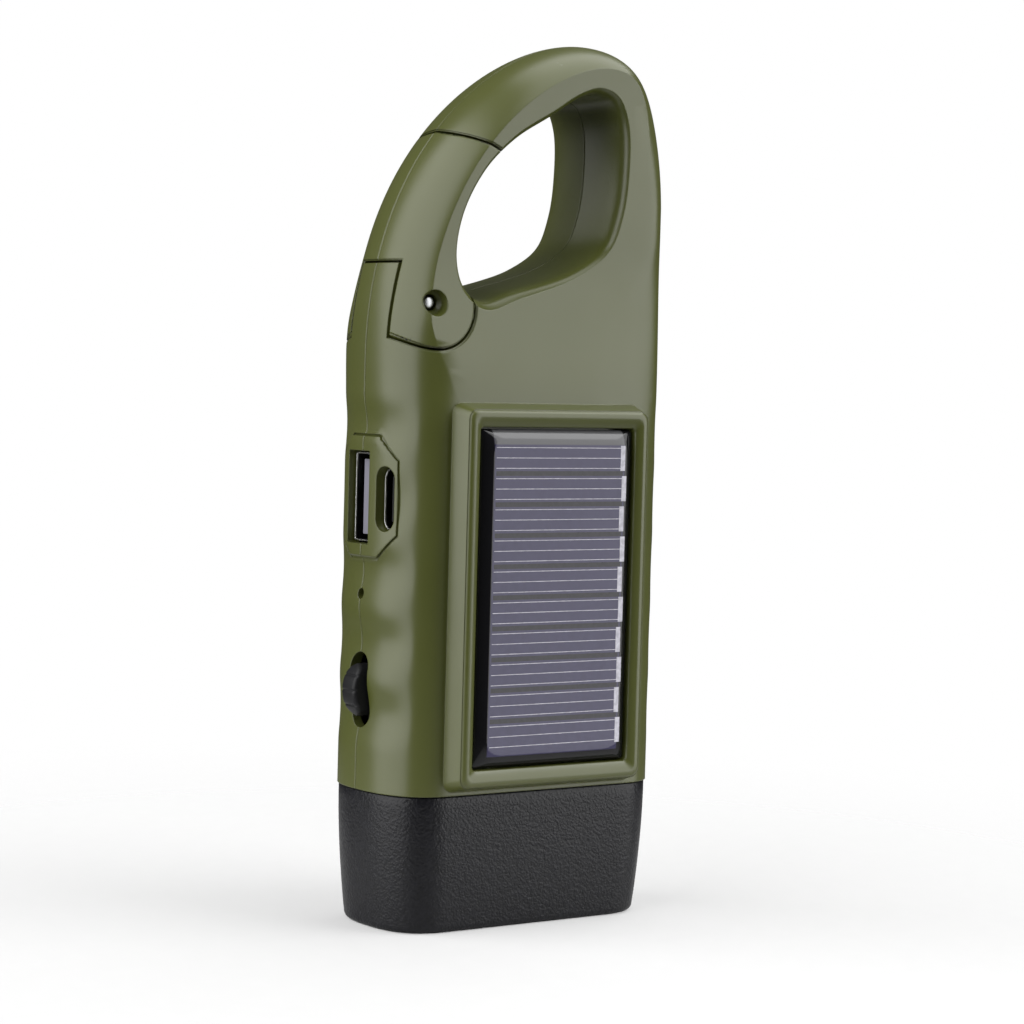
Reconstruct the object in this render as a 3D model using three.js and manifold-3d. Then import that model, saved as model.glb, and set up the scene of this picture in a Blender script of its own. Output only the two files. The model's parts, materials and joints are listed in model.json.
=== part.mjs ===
// Hand crank flashlight with a solar panel, a snap hook and a folding crank.
// Millimetres, +Z up. The light stands on its rubber bumper, lamp down. The solar panel faces -Y,
// the crank is on the +Y side and the sockets and the switch are on the -X side.
// Every piece is first laid out about the parting plane of the two shells, Y = 0, and the whole
// group is then moved so that its origin is the bottom centre of the object's box.

import * as THREE from 'three';
import { mergeVertices } from 'three/addons/utils/BufferGeometryUtils.js';
import Module from 'manifold-3d';

const wasm = await Module();
wasm.setup();

// Overall body
const bodyHalfWidth = 24.35;
const bodyFrontDepth = 12.5;
const bodyRearDepth = 11.8;
const totalHeight = 132.3;
const bumperHeight = 20.5;
const shellWall = 2;
const cutOverrun = 2;
const fitGap = 0.3;
const seatGap = 0.1;
const mergeReach = 0.0001;
const degrees = Math.PI / 180;

// Hook: the ring above the body, thinner than the body
const hookFrontDepth = 9.8;
const hookRearDepth = 9;
const hookLow = 84;
const hookRise = totalHeight - hookLow;
const hookTopX = 11.6;
const hookTopReach = 11.2;
const limbTopReach = 8.2;
const thinningDrop = 7;

// Shares of the hook's rise, from where its outline starts to curve up to its top
const hookShares = {
  sideReachShare: 0.6936,
  limbTopShare: 0.559,
  limbSideReachShare: 0.3002,
  thinningHighShare: 0.352,
  shoulderHighShare: 0.4141,
  limbFadeLowShare: 0.6625,
  creaseHighShare: 0.145,
  holeLowShare: 0.1677,
  holeHighShare: 0.8571,
  pinShare: 0.17184,
  jointRadiusShare: 0.5404,
  limbScrewShare: 0.6004,
  topScrewShare: 0.8696,
};
const hookSideReach = hookShares.sideReachShare * hookRise;
const limbTop = hookLow + hookShares.limbTopShare * hookRise;
const limbSideReach = hookShares.limbSideReachShare * hookRise;
const thinningLow = hookLow - thinningDrop;
const thinningHigh = hookLow + hookShares.thinningHighShare * hookRise;

// Width of the rounded side, from the outline to the flat face
const frontCornerWidth = 9;
const rearCornerWidth = 9.5;
const hookEdgeWidth = 3.9;
const hookRearEdgeWidth = 5.1;
const frontFullness = 0.76;
const rearFullness = 0.84;
const hookRearFullness = 0.95;
const limbFullness = 0.6;
const limbEdgeWidth = 5.3;
const shoulderExtraWidth = 8.2;
const shoulderDrop = 14;
const shoulderPeakDrop = 4;
const shoulderPeakRise = 1;
const shoulderLow = hookLow - shoulderDrop;
const shoulderPeakLow = hookLow - shoulderPeakDrop;
const shoulderPeakHigh = hookLow + shoulderPeakRise;
const shoulderHigh = hookLow + hookShares.shoulderHighShare * hookRise;
const limbFadeLow = hookLow + hookShares.limbFadeLowShare * hookRise;
const creaseDrop = 9;
const creaseLow = hookLow - creaseDrop;
const creaseHigh = hookLow + hookShares.creaseHighShare * hookRise;
const creaseAngle = 62;
const softAngle = 90;
const slopeStart = 50;

// Finger grooves on both narrow sides
const grooveFirst = 31.8;
const groovePitch = 10.55;
const grooveCount = 5;
const grooveDepth = 0.65;
const grooveFadeStart = 17;
const grooveFadeEnd = 41;

// Hook hole: outline at the lip, from its lowest to its highest point
const holeLow = hookLow + hookShares.holeLowShare * hookRise;
const holeHigh = hookLow + hookShares.holeHighShare * hookRise;
const holeDraft = 0.6;
const holeLipRound = 0.8;
const holeLipDepth = 1.8;
const holeFlare = 3.2;
const holeRearInset = 0.5;
const lipMiddleShare = 0.65;

// Skirt of the shells inside the bumper
const skirtInset = 2.6;
const skirtWall = 1.6;
const skirtLow = 5.4;
const skirtLedge = 1.6;

// Rubber bumper
const bumperTopInset = 0.2;
const bumperFootInset = 1.3;
const bumperFootRound = 1.1;
const bumperFloor = 5;
const windowDepth = 13.6;
const windowCorner = 4;
const bumperFlareShares = [
  [0.3, 0.55],
  [0.65, 0.85],
];
const lampCentreY = (bodyRearDepth - bodyFrontDepth) / 2;

// Lamp: lens, reflector, board and LEDs
const lensThickness = 2.2;
const lensLow = 2.4;
const lensLap = 1;
const reflectorHeight = 10.4;
const reflectorInset = 5.85;
const reflectorWidth = 2 * (bodyHalfWidth - reflectorInset);
const windowWidth = reflectorWidth - 2 * lensLap;
const reflectorDepth = 14;
const reflectorCorner = 4;
const lampSpacingShare = 0.3135;
const lampSpacing = lampSpacingShare * reflectorWidth;
const cupRadius = 5.4;
const cupNeckRadius = 3.05;
const cupDepth = 6;
const cupBowlShare = 0.35;
const lampBoardThickness = 1.2;
const ledRadius = 2.45;
const ledLength = 6.4;
const ledBaseRadius = 2.7;
const ledBaseHeight = 1;

// Solar panel and its frame
const frameInset = 7.25;
const frameWidth = 2 * (bodyHalfWidth - frameInset);
const frameHeight = 57;
const frameSeamGap = 0.5;
const frameCentreZ = bumperHeight + frameSeamGap + frameHeight / 2;
const frameCorner = 1.6;
const ridgeReach = 16.05;
const ridgeRound = 0.45;
const ridgeSideInset = 0.8;
const ridgeEndInset = 0.9;
const ridgeWidth = frameWidth - 2 * ridgeSideInset;
const ridgeHeight = frameHeight - 2 * ridgeEndInset;
const ridgeBand = 1;
const pocketSideInset = 3.15;
const pocketEndInset = 3.5;
const panelPocketWidth = frameWidth - 2 * pocketSideInset;
const panelPocketHeight = frameHeight - 2 * pocketEndInset;
const panelPocketCorner = 0.6;
const panelPocketFloor = 12.2;
const pocketEdgeReach = 14.65;
const panelBackThickness = 1;
const panelTopReach = 15.7;
const panelEdgeReach = 14.6;
const panelDomeWidth = 1.7;
const domeShares = [
  [0.38, 0.08],
  [0.71, 0.29],
  [0.92, 0.62],
  [1, 1],
];
const wireHoleRadius = 1.6;

// Socket panel on the -X side
const socketCentreZ = 63.6;
const plateLowReach = 8.9;
const plateHighReach = 9.2;
const socketPlateLow = socketCentreZ - plateLowReach;
const socketPlateHigh = socketCentreZ + plateHighReach;
const socketRecess = 1.45;
const usbAHeight = 13.1;
const usbAWidth = 5.7;
const usbALength = 13.6;
const usbACentreY = 1.35;
const usbASheet = 0.35;
const usbATongueThickness = 1.8;
const usbATongueHeight = 11.1;
const usbATongueGap = 0.6;
const usbATongueShift = 0.35;
const usbCHeight = 8.94;
const usbCWidth = 3.16;
const usbCLength = 7.35;
const usbCCentreY = -5.45;
const usbCSheet = 0.3;
const usbCTongueThickness = 0.7;
const usbCTongueHeight = 6.65;
const socketBack = 1.2;
const roundSlack = 0.01;

// Charge light
const chargeLightZ = 49.4;
const chargeHoleRadius = 0.8;
const chargePipeRadius = 0.5;
const chargeBaseSize = 1.8;

// Slide switch
const switchCentreZ = 35.2;
const switchSlotHeight = 11.2;
const switchSlotWidth = 4.9;
const knobHeight = 7.8;
const knobWidth = 4.2;
const knobProud = 1.75;
const knobEdgeProud = 0.05;
const knobBackInset = 2.75;
const knobReach = bodyHalfWidth + knobProud;
const knobEdgeReach = bodyHalfWidth + knobEdgeProud;
const knobBackReach = bodyHalfWidth - knobBackInset;
const knobLeverLength = 1.8;
const knobLeverThickness = 1.4;
const switchTravel = 1.4;
const switchBodyLength = 6;
const switchBodyHeight = 10.4;
const switchBodyWidth = 3.9;
const switchSlotDepth = 2.2;
const switchInset = 3.35;
const switchFrontX = switchInset - bodyHalfWidth;
const knobArcSteps = 6;

// Gear train and generator
const crankTeeth = 48;
const firstPinionTeeth = 9;
const secondToothShare = 0.727273;
const toothRootShare = 1.25;
const toothTipShare = 0.95;
const toothBaseShare = 0.62;
const toothCrestShare = 0.2;
const secondGearTeeth = 40;
const rotorTeeth = 8;
const firstPairAngle = -60;
const secondPairAngle = 169;
const crankGearLow = 6.9;
const crankGearHigh = 9.1;
const secondGearLow = 4.3;
const secondGearHigh = 6.3;
const axleRadius = 0.75;
const gearPlateLow = 3;
const gearPlateHigh = 4;
const generatorWall = 0.8;
const generatorBottom = -4.4;
const windingGap = 0.5;
const windingFit = 0.2;
const windingThickness = 2.5;
const platePostRadius = 2.2;
const plateScrewRadius = 0.8;
const plateScrewHeadRadius = 1.7;
const plateScrewHeadHeight = 1;
const plateScrewLength = 5;
const leftPostInset = 7.95;
const leftPostRise = 5.6;
const rightPostInset = 6.95;
const rightPostDrop = 2.4;
const lowPostGap = 2.676;
const lowPostAngle = 220.98;
const plateMargin = 0.5;
const crankGearGap = 0.4775;
const crankGearReach = bodyHalfWidth - leftPostInset - platePostRadius - crankGearGap;
const firstToothSize = crankGearReach / (crankTeeth / 2 + toothTipShare);
const secondToothSize = firstToothSize * secondToothShare;
const secondGearReach = secondToothSize * (secondGearTeeth / 2 + toothTipShare);
const firstCentres = (firstToothSize * (crankTeeth + firstPinionTeeth)) / 2;
const secondCentres = (secondToothSize * (secondGearTeeth + rotorTeeth)) / 2;
const gearTrainGap = 1.545;
const idlerX = firstCentres * Math.cos(firstPairAngle * degrees);
const idlerZ = bumperHeight + gearTrainGap + secondGearReach;
const crankAxisZ = idlerZ - firstCentres * Math.sin(firstPairAngle * degrees);
const rotorX = idlerX + secondCentres * Math.cos(secondPairAngle * degrees);
const rotorZ = idlerZ + secondCentres * Math.sin(secondPairAngle * degrees);
const generatorInset = 0.6;
const generatorRadius = secondCentres - generatorInset;
const windingOuter = generatorRadius - generatorWall - windingGap + windingFit;
const windingInner = windingOuter - windingThickness;
const magnetRadius = windingInner - windingGap;
const lowPostReach = generatorRadius + lowPostGap;
const lowPostX = rotorX + lowPostReach * Math.cos(lowPostAngle * degrees);
const lowPostZ = rotorZ + lowPostReach * Math.sin(lowPostAngle * degrees);

// Main board
const boardThickness = 1.6;
const boardFrontY = -3.4;
const boardLowGap = 4.743;
const boardLow = rotorZ + generatorRadius + boardLowGap;
const boardHigh = 74;
const boardLeftInset = 2.95;
const boardRightInset = 4.35;
const boardStripGap = 1.814;
const boardLeftX = boardLeftInset - bodyHalfWidth;
const boardRightX = bodyHalfWidth - boardRightInset;
const boardStripRightX = rotorX - generatorRadius - boardStripGap;
const boardStripLow = 30;
const boardScrewInset = 2.8;
const boardScrewEndInset = 3.6;
const boardScrewX = boardRightX - boardScrewInset;
const boardScrewLowZ = boardLow + boardScrewEndInset;
const boardScrewHighZ = boardHigh - boardScrewEndInset;
const boardPostRadius = 2.1;
const boardScrewRadius = 0.8;
const boardScrewHeadRadius = 1.6;
const boardScrewHeadHeight = 1;
const boardScrewLength = 5;

// Battery
const batteryInset = 10.35;
const batteryWidth = 2 * (bodyHalfWidth - batteryInset);
const batteryHeight = 40;
const batteryThickness = 5;
const batteryCentreZ = 45.2;
const batteryCorner = 1.6;
const batteryBevel = 0.6;
const batteryGap = 0.4;

// Shell screws
const caseScrewRadius = 1.1;
const caseScrewHeadRadius = 2.05;
const caseScrewHeadHeight = 1.5;
const caseScrewLength = 11.5;
const caseScrewSeat = 5;
const caseBossRadius = 3;
const driveSlotWidth = 0.55;
const driveSlotDepth = 0.7;
const driveArmShare = 0.7;
const lowScrewInset = 5.85;
const lowScrewRise = 5;
const highScrewInset = 6.95;
const highScrewDrop = 4.4;
const limbScrewInset = 4.95;
const topScrewInset = 9;
const lowScrewX = bodyHalfWidth - lowScrewInset;
const lowScrewZ = bumperHeight + lowScrewRise;
const highScrewX = bodyHalfWidth - highScrewInset;
const highScrewZ = hookLow - highScrewDrop;
const limbScrewX = bodyHalfWidth - limbScrewInset;
const limbScrewZ = hookLow + hookShares.limbScrewShare * hookRise;
const topScrewX = hookTopX - topScrewInset;
const topScrewZ = hookLow + hookShares.topScrewShare * hookRise;

// Snap gate, its pin and its spring
const pinInset = 5.3;
const pinX = pinInset - bodyHalfWidth;
const pinZ = hookLow + hookShares.pinShare * hookRise;
const pinRadius = 0.9;
const pinFrontReach = 8.7;
const pinRearReach = 8.2;
const pinRecessRadius = 1.75;
const lobeRadius = 6.6;
const gateGap = 0.35;
const jointRadius = hookShares.jointRadiusShare * hookRise;
const jointFaceDrop = 1;
const jointInnerAngle = 60;
const gateSweep = 36;
const tongueHalfWidth = 4.8;
const tongueHubRadius = 4.6;
const tongueRise = 5.7;
const tongueStripX = 0.5;
const tongueWedgeStart = 225;
const tongueWedgeEnd = 312;
const gateWebLift = 1;
const springPocketRadius = 3;
const springPocketHalfWidth = 2.7;
const springWire = 0.6;
const springCoilRadius = 2.1;
const springPitch = 1.08;
const springTurns = 4;
const springLegLength = 3.2;
const springStepsPerTurn = 8;
const springSides = 5;

// Crank
const crankThrow = 36.5;
const armInnerReach = 12.6;
const armThickness = 4.2;
const armHubRadius = 11;
const armTipRadius = 7.2;
const armEdgeRound = 0.7;
const armLugRadius = 2.5;
const hubPadRadius = 14;
const hubPadReach = 12.25;
const shaftRadius = 2.7;
const shaftSquare = 3.8;
const shaftStubRadius = 1.4;
const bushingRadius = 4;
const bushingInnerReach = 9.4;
const crankScrewRadius = 1.2;
const crankScrewHeadRadius = 2.8;
const crankScrewHeadHeight = 1.5;
const crankScrewLength = 6.5;
const crankScrewRecessRadius = 3.6;
const crankScrewRecessDepth = 1.9;

// Folding crank knob
const knobSlotWidth = 8.8;
const foldPinReach = 16.4;
const foldPinRadius = 1;
const clevisRadius = 3.8;
const clevisWidth = 7.9;
const clevisNeck = 5.2;
const spindleRadius = 1.6;
const handleRadius = 4.1;
const handleWaist = 3.5;
const handleLength = 14;
const handleBore = 1.95;
const handleScrewHeadRadius = 2.4;
const handleScrewHeadHeight = 1.1;
const handleScrewRadius = 0.7;
const handleScrewLength = 5;
const handleRecessDepth = 1.6;
const handleRecessRadius = 2.8;
const waistShares = [0.6, 0.2, 0.5, 0.6, 0.8];

// Facet counts
const sideSteps = 6;
const curveSteps = 10;
const grooveSteps = 6;
const arcJoint = 96;
const arcFine = 32;
const arcMedium = 18;
const arcCoarse = 10;
const holePoints = 40;
const cornerSteps = 3;
const bisectionSteps = 40;

function finish(color, roughness, metalness) {
  return new THREE.MeshStandardMaterial({ color, roughness, metalness });
}

const greenPlastic = finish(0x6b7046, 0.42, 0);
const blackRubber = finish(0x2b2b2e, 0.85, 0);
const blackPlastic = finish(0x1c1c1e, 0.5, 0);
const whitePlastic = finish(0xd9d9d2, 0.5, 0);
const naturalPlastic = finish(0xe6e1cf, 0.5, 0);
const clearPlastic = finish(0xe8f0f4, 0.08, 0);
const chromed = finish(0xd8dadd, 0.12, 1);
const steel = finish(0xb9bcc0, 0.35, 1);
const brass = finish(0xb8963f, 0.35, 1);
const copper = finish(0xb46a3c, 0.4, 1);
const boardGreen = finish(0x1f5a38, 0.55, 0);
const cellBlue = finish(0x4b4a66, 0.25, 0);
const batteryFoil = finish(0xa9adb3, 0.4, 0.6);

// Solids: closed geometries that can be joined and cut

function signedVolume(points, faces) {
  let total = 0;
  for (const [a, b, c] of faces) {
    total += points[a].dot(new THREE.Vector3().crossVectors(points[b], points[c]));
  }
  return total;
}

function closedGeometry(points, faces) {
  const outward = signedVolume(points, faces) > 0;
  const ordered = faces.map(([a, b, c]) => (outward ? [a, b, c] : [a, c, b]));
  const geometry = new THREE.BufferGeometry();
  geometry.setAttribute('position', new THREE.Float32BufferAttribute(points.flatMap((p) => p.toArray()), 3));
  geometry.setIndex(ordered.flat());
  return geometry;
}

function toSolid(geometry) {
  const bare = geometry.clone();
  bare.deleteAttribute('normal');
  bare.deleteAttribute('uv');
  const merged = mergeVertices(bare, mergeReach);
  const source = merged.index.array;
  const triangles = [];
  for (let i = 0; i < source.length; i += 3) {
    const [a, b, c] = [source[i], source[i + 1], source[i + 2]];
    if (a !== b && b !== c && a !== c) triangles.push(a, b, c);
  }
  const vertProperties = new Float32Array(merged.attributes.position.array);
  const triVerts = new Uint32Array(triangles);
  return new wasm.Manifold(new wasm.Mesh({ numProp: 3, vertProperties, triVerts }));
}

function toGeometry(manifold) {
  const mesh = manifold.getMesh();
  const geometry = new THREE.BufferGeometry();
  geometry.setAttribute('position', new THREE.Float32BufferAttribute(Array.from(mesh.vertProperties), 3));
  geometry.setIndex(Array.from(mesh.triVerts));
  return geometry;
}

function joinAll(solids) {
  return solids.reduce((sum, piece) => sum.add(piece));
}

// Outlines

function rectangle(width, height, radius, centreX = 0, centreY = 0) {
  const corners = [
    [1, -1],
    [1, 1],
    [-1, 1],
    [-1, -1],
  ];
  const steps = radius === 0 ? 0 : cornerSteps;
  const points = [];
  corners.forEach(([right, up], index) => {
    for (let step = 0; step <= steps; step += 1) {
      const angle = (Math.PI / 2) * (index - 1 + (steps === 0 ? 0 : step / steps));
      points.push([
        centreX + right * (width / 2 - radius) + radius * Math.cos(angle),
        centreY + up * (height / 2 - radius) + radius * Math.sin(angle),
      ]);
    }
  });
  return polygon(points);
}

function disc(radius, centreX = 0, centreY = 0) {
  return new THREE.Shape().absarc(centreX, centreY, radius, 0, 2 * Math.PI);
}

function polygon(points) {
  return new THREE.Shape(points.map(([x, y]) => new THREE.Vector2(x, y)));
}

// Extrusions along each axis, with a number of segments for a full circle.
// An outline's own axes are X and Z, Y and Z, or X and Y.

function extrude(shape, depth, segments) {
  return new THREE.ExtrudeGeometry(shape, { depth, bevelEnabled: false, curveSegments: segments / 2 });
}

function alongY(shape, low, high, segments = arcMedium) {
  const geometry = extrude(shape, high - low, segments);
  geometry.rotateX(Math.PI / 2);
  geometry.translate(0, high, 0);
  return toSolid(geometry);
}

function alongX(shape, low, high, segments = arcMedium) {
  const geometry = extrude(shape, high - low, segments);
  const turn = new THREE.Matrix4().makeBasis(
    new THREE.Vector3(0, 1, 0),
    new THREE.Vector3(0, 0, 1),
    new THREE.Vector3(1, 0, 0),
  );
  geometry.applyMatrix4(turn);
  geometry.translate(low, 0, 0);
  return toSolid(geometry);
}

function alongZ(shape, low, high, segments = arcMedium) {
  const geometry = extrude(shape, high - low, segments);
  geometry.translate(0, 0, low);
  return toSolid(geometry);
}

// A turned piece about Y: the profile is a list of [radius, y] from axis to axis or closed
function turnedAlongY(profile, segments) {
  const points = profile.map(([radius, y]) => new THREE.Vector2(radius, y));
  return toSolid(new THREE.LatheGeometry(points, segments));
}

function turnedAlongZ(profile, segments) {
  const points = profile.map(([radius, z]) => new THREE.Vector2(radius, z));
  const geometry = new THREE.LatheGeometry(points, segments);
  geometry.rotateX(Math.PI / 2);
  return toSolid(geometry);
}

// Loops of points joined into one closed skin, with both ends capped
function loft(loops, flatten) {
  const count = loops[0].length;
  const points = loops.flat();
  const faces = [];
  for (let ring = 0; ring + 1 < loops.length; ring += 1) {
    for (let i = 0; i < count; i += 1) {
      const a = ring * count + i;
      const b = ring * count + ((i + 1) % count);
      faces.push([a, b, b + count], [a, b + count, a + count]);
    }
  }
  const cap = THREE.ShapeUtils.triangulateShape(loops[0].map(flatten), []);
  const last = (loops.length - 1) * count;
  const flip = THREE.ShapeUtils.isClockWise(loops[0].map(flatten));
  for (const [a, b, c] of cap) {
    faces.push(flip ? [a, b, c] : [a, c, b]);
    faces.push(flip ? [last + a, last + c, last + b] : [last + a, last + b, last + c]);
  }
  return toSolid(closedGeometry(points, faces));
}

// Body surface: rows of stations up both sides of the outline, each with a rounded section

function mix(from, to, share) {
  return from + (to - from) * share;
}

function smooth(value, low, high) {
  const share = THREE.MathUtils.clamp((value - low) / (high - low), 0, 1);
  return share * share * (3 - 2 * share);
}

const sideCurves = {
  left: new THREE.CubicBezierCurve(
    new THREE.Vector2(-bodyHalfWidth, hookLow),
    new THREE.Vector2(-bodyHalfWidth, hookLow + hookSideReach),
    new THREE.Vector2(hookTopX - hookTopReach, totalHeight),
    new THREE.Vector2(hookTopX, totalHeight),
  ),
  right: new THREE.CubicBezierCurve(
    new THREE.Vector2(bodyHalfWidth, limbTop),
    new THREE.Vector2(bodyHalfWidth, limbTop + limbSideReach),
    new THREE.Vector2(hookTopX + limbTopReach, totalHeight),
    new THREE.Vector2(hookTopX, totalHeight),
  ),
};

// The point of a side's outline at one height, with the normal that points into the body
function stationAt(side, z) {
  const curve = sideCurves[side];
  const inward = side === 'left' ? 1 : -1;
  if (z <= curve.v0.y) return { side, z, x: curve.v0.x, normal: new THREE.Vector2(inward, 0) };
  if (z >= totalHeight) return { side, z, x: hookTopX, normal: new THREE.Vector2(0, -1) };
  let [low, high] = [0, 1];
  for (let step = 0; step < bisectionSteps; step += 1) {
    const middle = (low + high) / 2;
    if (curve.getPoint(middle).y < z) low = middle;
    else high = middle;
  }
  const tangent = curve.getTangent(low);
  const normal = new THREE.Vector2(tangent.y, -tangent.x).multiplyScalar(inward);
  return { side, z, x: curve.getPoint(low).x, normal };
}

function faceDepth(face, z) {
  const share = smooth(z, thinningLow, thinningHigh);
  if (face === 'front') return mix(bodyFrontDepth, hookFrontDepth, share);
  return mix(bodyRearDepth, hookRearDepth, share);
}

function edgeWidth(side, face, z) {
  if (face === 'rear') return mix(rearCornerWidth, hookRearEdgeWidth, smooth(z, creaseLow, creaseHigh));
  if (side === 'left') return mix(frontCornerWidth, hookEdgeWidth, smooth(z, creaseLow, creaseHigh));
  const limb = mix(frontCornerWidth, limbEdgeWidth, smooth(z, creaseLow, shoulderHigh));
  return mix(limb, hookEdgeWidth, smooth(z, limbFadeLow, totalHeight));
}

// How much wider the slope above the panel is, on the side of the fixed limb
function shoulderExtra(side, face, z) {
  if (side === 'left' || face === 'rear') return 0;
  const rise = smooth(z, shoulderLow, shoulderPeakLow);
  return shoulderExtraWidth * rise * (1 - smooth(z, shoulderPeakHigh, shoulderHigh));
}

// The exponent of the section's curve: 1 is an ellipse, and less is fuller
function fullness(side, face, z) {
  const share = smooth(z, thinningLow, thinningHigh);
  if (face === 'rear') return mix(rearFullness, hookRearFullness, share);
  if (side === 'left') return mix(frontFullness, 1, share);
  return mix(frontFullness, mix(limbFullness, 1, smooth(z, limbFadeLow, totalHeight)), share);
}

function edgeAngle(side, face, z) {
  if (face === 'rear') return softAngle * degrees;
  const low = side === 'left' ? creaseLow : limbFadeLow;
  const high = side === 'left' ? creaseHigh : totalHeight;
  return mix(softAngle, creaseAngle, smooth(z, low, high)) * degrees;
}

function grooveAt(side, z) {
  const first = grooveFirst - groovePitch / 2;
  const last = first + grooveCount * groovePitch;
  if (z <= first || z >= last) return 0;
  if (side === 'left' && z > socketPlateLow && z < socketPlateHigh) return 0;
  const wave = (1 + Math.cos((2 * Math.PI * (z - grooveFirst)) / groovePitch)) / 2;
  return grooveDepth * wave;
}

// The rounded section at a station, from the parting plane to the edge of the flat face
function section(station, face, wall) {
  const depth = faceDepth(face, station.z) - wall;
  const width = edgeWidth(station.side, face, station.z) - wall / 2;
  const extra = shoulderExtra(station.side, face, station.z);
  const power = fullness(station.side, face, station.z);
  const endAngle = edgeAngle(station.side, face, station.z);
  const endCosine = Math.max(Math.cos(endAngle), 0) ** power;
  const sign = face === 'front' ? -1 : 1;
  const points = [];
  for (let step = 0; step <= sideSteps; step += 1) {
    const angle = (endAngle * step) / sideSteps;
    const fade = 1 - smooth(angle, grooveFadeStart * degrees, grooveFadeEnd * degrees);
    const groove = wall === 0 ? grooveAt(station.side, station.z) * fade : 0;
    const round = (width * (1 - Math.max(Math.cos(angle), 0) ** power)) / (1 - endCosine);
    const slope = extra * smooth(angle, slopeStart * degrees, softAngle * degrees);
    const inset = wall + groove + round + slope;
    const reach = depth * (Math.sin(angle) / Math.sin(endAngle)) ** power;
    const x = station.x + station.normal.x * inset;
    const z = station.z + station.normal.y * inset;
    points.push(new THREE.Vector3(x, sign * reach, z));
  }
  return points;
}

function rowHeights(low, grooved) {
  const rows = [];
  const first = grooveFirst - groovePitch / 2;
  const last = first + grooveCount * groovePitch;
  const steps = grooved ? grooveCount * grooveSteps : grooveCount;
  for (let step = 0; step <= steps; step += 1) rows.push(mix(first, last, step / steps));
  const count = grooved ? 2 * curveSteps : curveSteps;
  for (let step = 1; step <= count; step += 1) {
    rows.push(mix(last, totalHeight, Math.sin((Math.PI / 2) * (step / count))));
  }
  return [low, ...rows.filter((row) => row > low + seatGap)];
}

// Half of the body, from the parting plane to one face, set in by the wall
function halfBody(face, low, wall) {
  const rows = rowHeights(low, wall === 0);
  const rings = ['left', 'right'].map((side) => rows.map((z) => section(stationAt(side, z), face, wall)));
  const points = rings.flat(2);
  const ringSize = sideSteps + 1;
  const at = (side, row, step) => (side * rows.length + row) * ringSize + step;
  const faces = [];
  const quad = (a, b, c, d) => faces.push([a, b, c], [a, c, d]);
  for (let row = 0; row + 1 < rows.length; row += 1) {
    const next = row + 1;
    for (let step = 0; step < sideSteps; step += 1) {
      quad(at(0, row, step), at(0, next, step), at(0, next, step + 1), at(0, row, step + 1));
      quad(at(1, next, step), at(1, row, step), at(1, row, step + 1), at(1, next, step + 1));
    }
    quad(at(0, next, 0), at(0, row, 0), at(1, row, 0), at(1, next, 0));
    quad(at(0, row, sideSteps), at(0, next, sideSteps), at(1, next, sideSteps), at(1, row, sideSteps));
  }
  for (let step = 0; step < sideSteps; step += 1) {
    quad(at(0, 0, step), at(0, 0, step + 1), at(1, 0, step + 1), at(1, 0, step));
  }
  return toSolid(closedGeometry(points, faces));
}

// Half of the body's level section, set in, as points from the left parting edge to the right one
function halfLoop(face, inset) {
  const depth = (face === 'front' ? bodyFrontDepth : bodyRearDepth) - inset;
  const width = (face === 'front' ? frontCornerWidth : rearCornerWidth) - inset / 2;
  const power = face === 'front' ? frontFullness : rearFullness;
  const sign = face === 'front' ? -1 : 1;
  const edge = [];
  for (let step = 0; step <= sideSteps; step += 1) {
    const angle = (Math.PI / 2) * (step / sideSteps);
    const round = width * (1 - Math.max(Math.cos(angle), 0) ** power);
    edge.push([bodyHalfWidth - inset - round, sign * depth * Math.sin(angle) ** power]);
  }
  return [...edge.map(([x, y]) => [-x, y]), ...edge.reverse()];
}

function fullLoop(inset, z) {
  const front = halfLoop('front', inset);
  const rear = halfLoop('rear', inset).reverse().slice(1, -1);
  return [...front, ...rear].map(([x, y]) => new THREE.Vector3(x, y, z));
}

function levelView(point) {
  return new THREE.Vector2(point.x, point.y);
}

function frontView(point) {
  return new THREE.Vector2(point.x, point.z);
}

// Hook hole, drafted from the parting plane and rounded at both lips.
// Shares of the body's half width, and of the height from the hole's lowest to its highest point.
const holeOutlineShares = [
  [-0.632, 0.2],
  [-0.591, 0.4],
  [-0.434, 0.607],
  [-0.217, 0.758],
  [0.062, 0.88],
  [0.275, 0.972],
  [0.42, 1],
  [0.553, 0.965],
  [0.632, 0.848],
  [0.644, 0.614],
  [0.605, 0.425],
  [0.512, 0.272],
  [0.271, 0.152],
  [-0.185, 0.047],
  [-0.43, 0],
  [-0.57, 0.065],
];

function holeLoop(offset, y) {
  const stops = holeOutlineShares.map(
    ([across, up]) => new THREE.Vector3(across * bodyHalfWidth, 0, mix(holeLow, holeHigh, up)),
  );
  const curve = new THREE.CatmullRomCurve3(stops, true, 'centripetal');
  const loop = [];
  for (let step = 0; step < holePoints; step += 1) {
    const share = step / holePoints;
    const point = curve.getPoint(share);
    const tangent = curve.getTangent(share);
    loop.push(new THREE.Vector3(point.x - tangent.z * offset, y, point.z + tangent.x * offset));
  }
  return loop;
}

function holeCutter() {
  const steps = [
    [-bodyFrontDepth - cutOverrun, holeFlare],
    [-hookFrontDepth, 0],
    [-hookFrontDepth + holeLipDepth / 3, -holeLipRound * lipMiddleShare],
    [-hookFrontDepth + holeLipDepth, -holeLipRound],
    [0, -holeLipRound - holeDraft],
    [hookRearDepth - holeLipDepth, -holeLipRound - holeRearInset],
    [hookRearDepth - holeLipDepth / 3, -holeLipRound * lipMiddleShare - holeRearInset],
    [hookRearDepth, -holeRearInset],
    [bodyRearDepth + cutOverrun, holeFlare],
  ];
  return loft(steps.map(([y, offset]) => holeLoop(offset, y)), frontView);
}

function holeCore(wall, low, high) {
  return alongY(polygon(holeLoop(wall, 0).map((point) => [point.x, point.z])), low, high);
}

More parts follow.
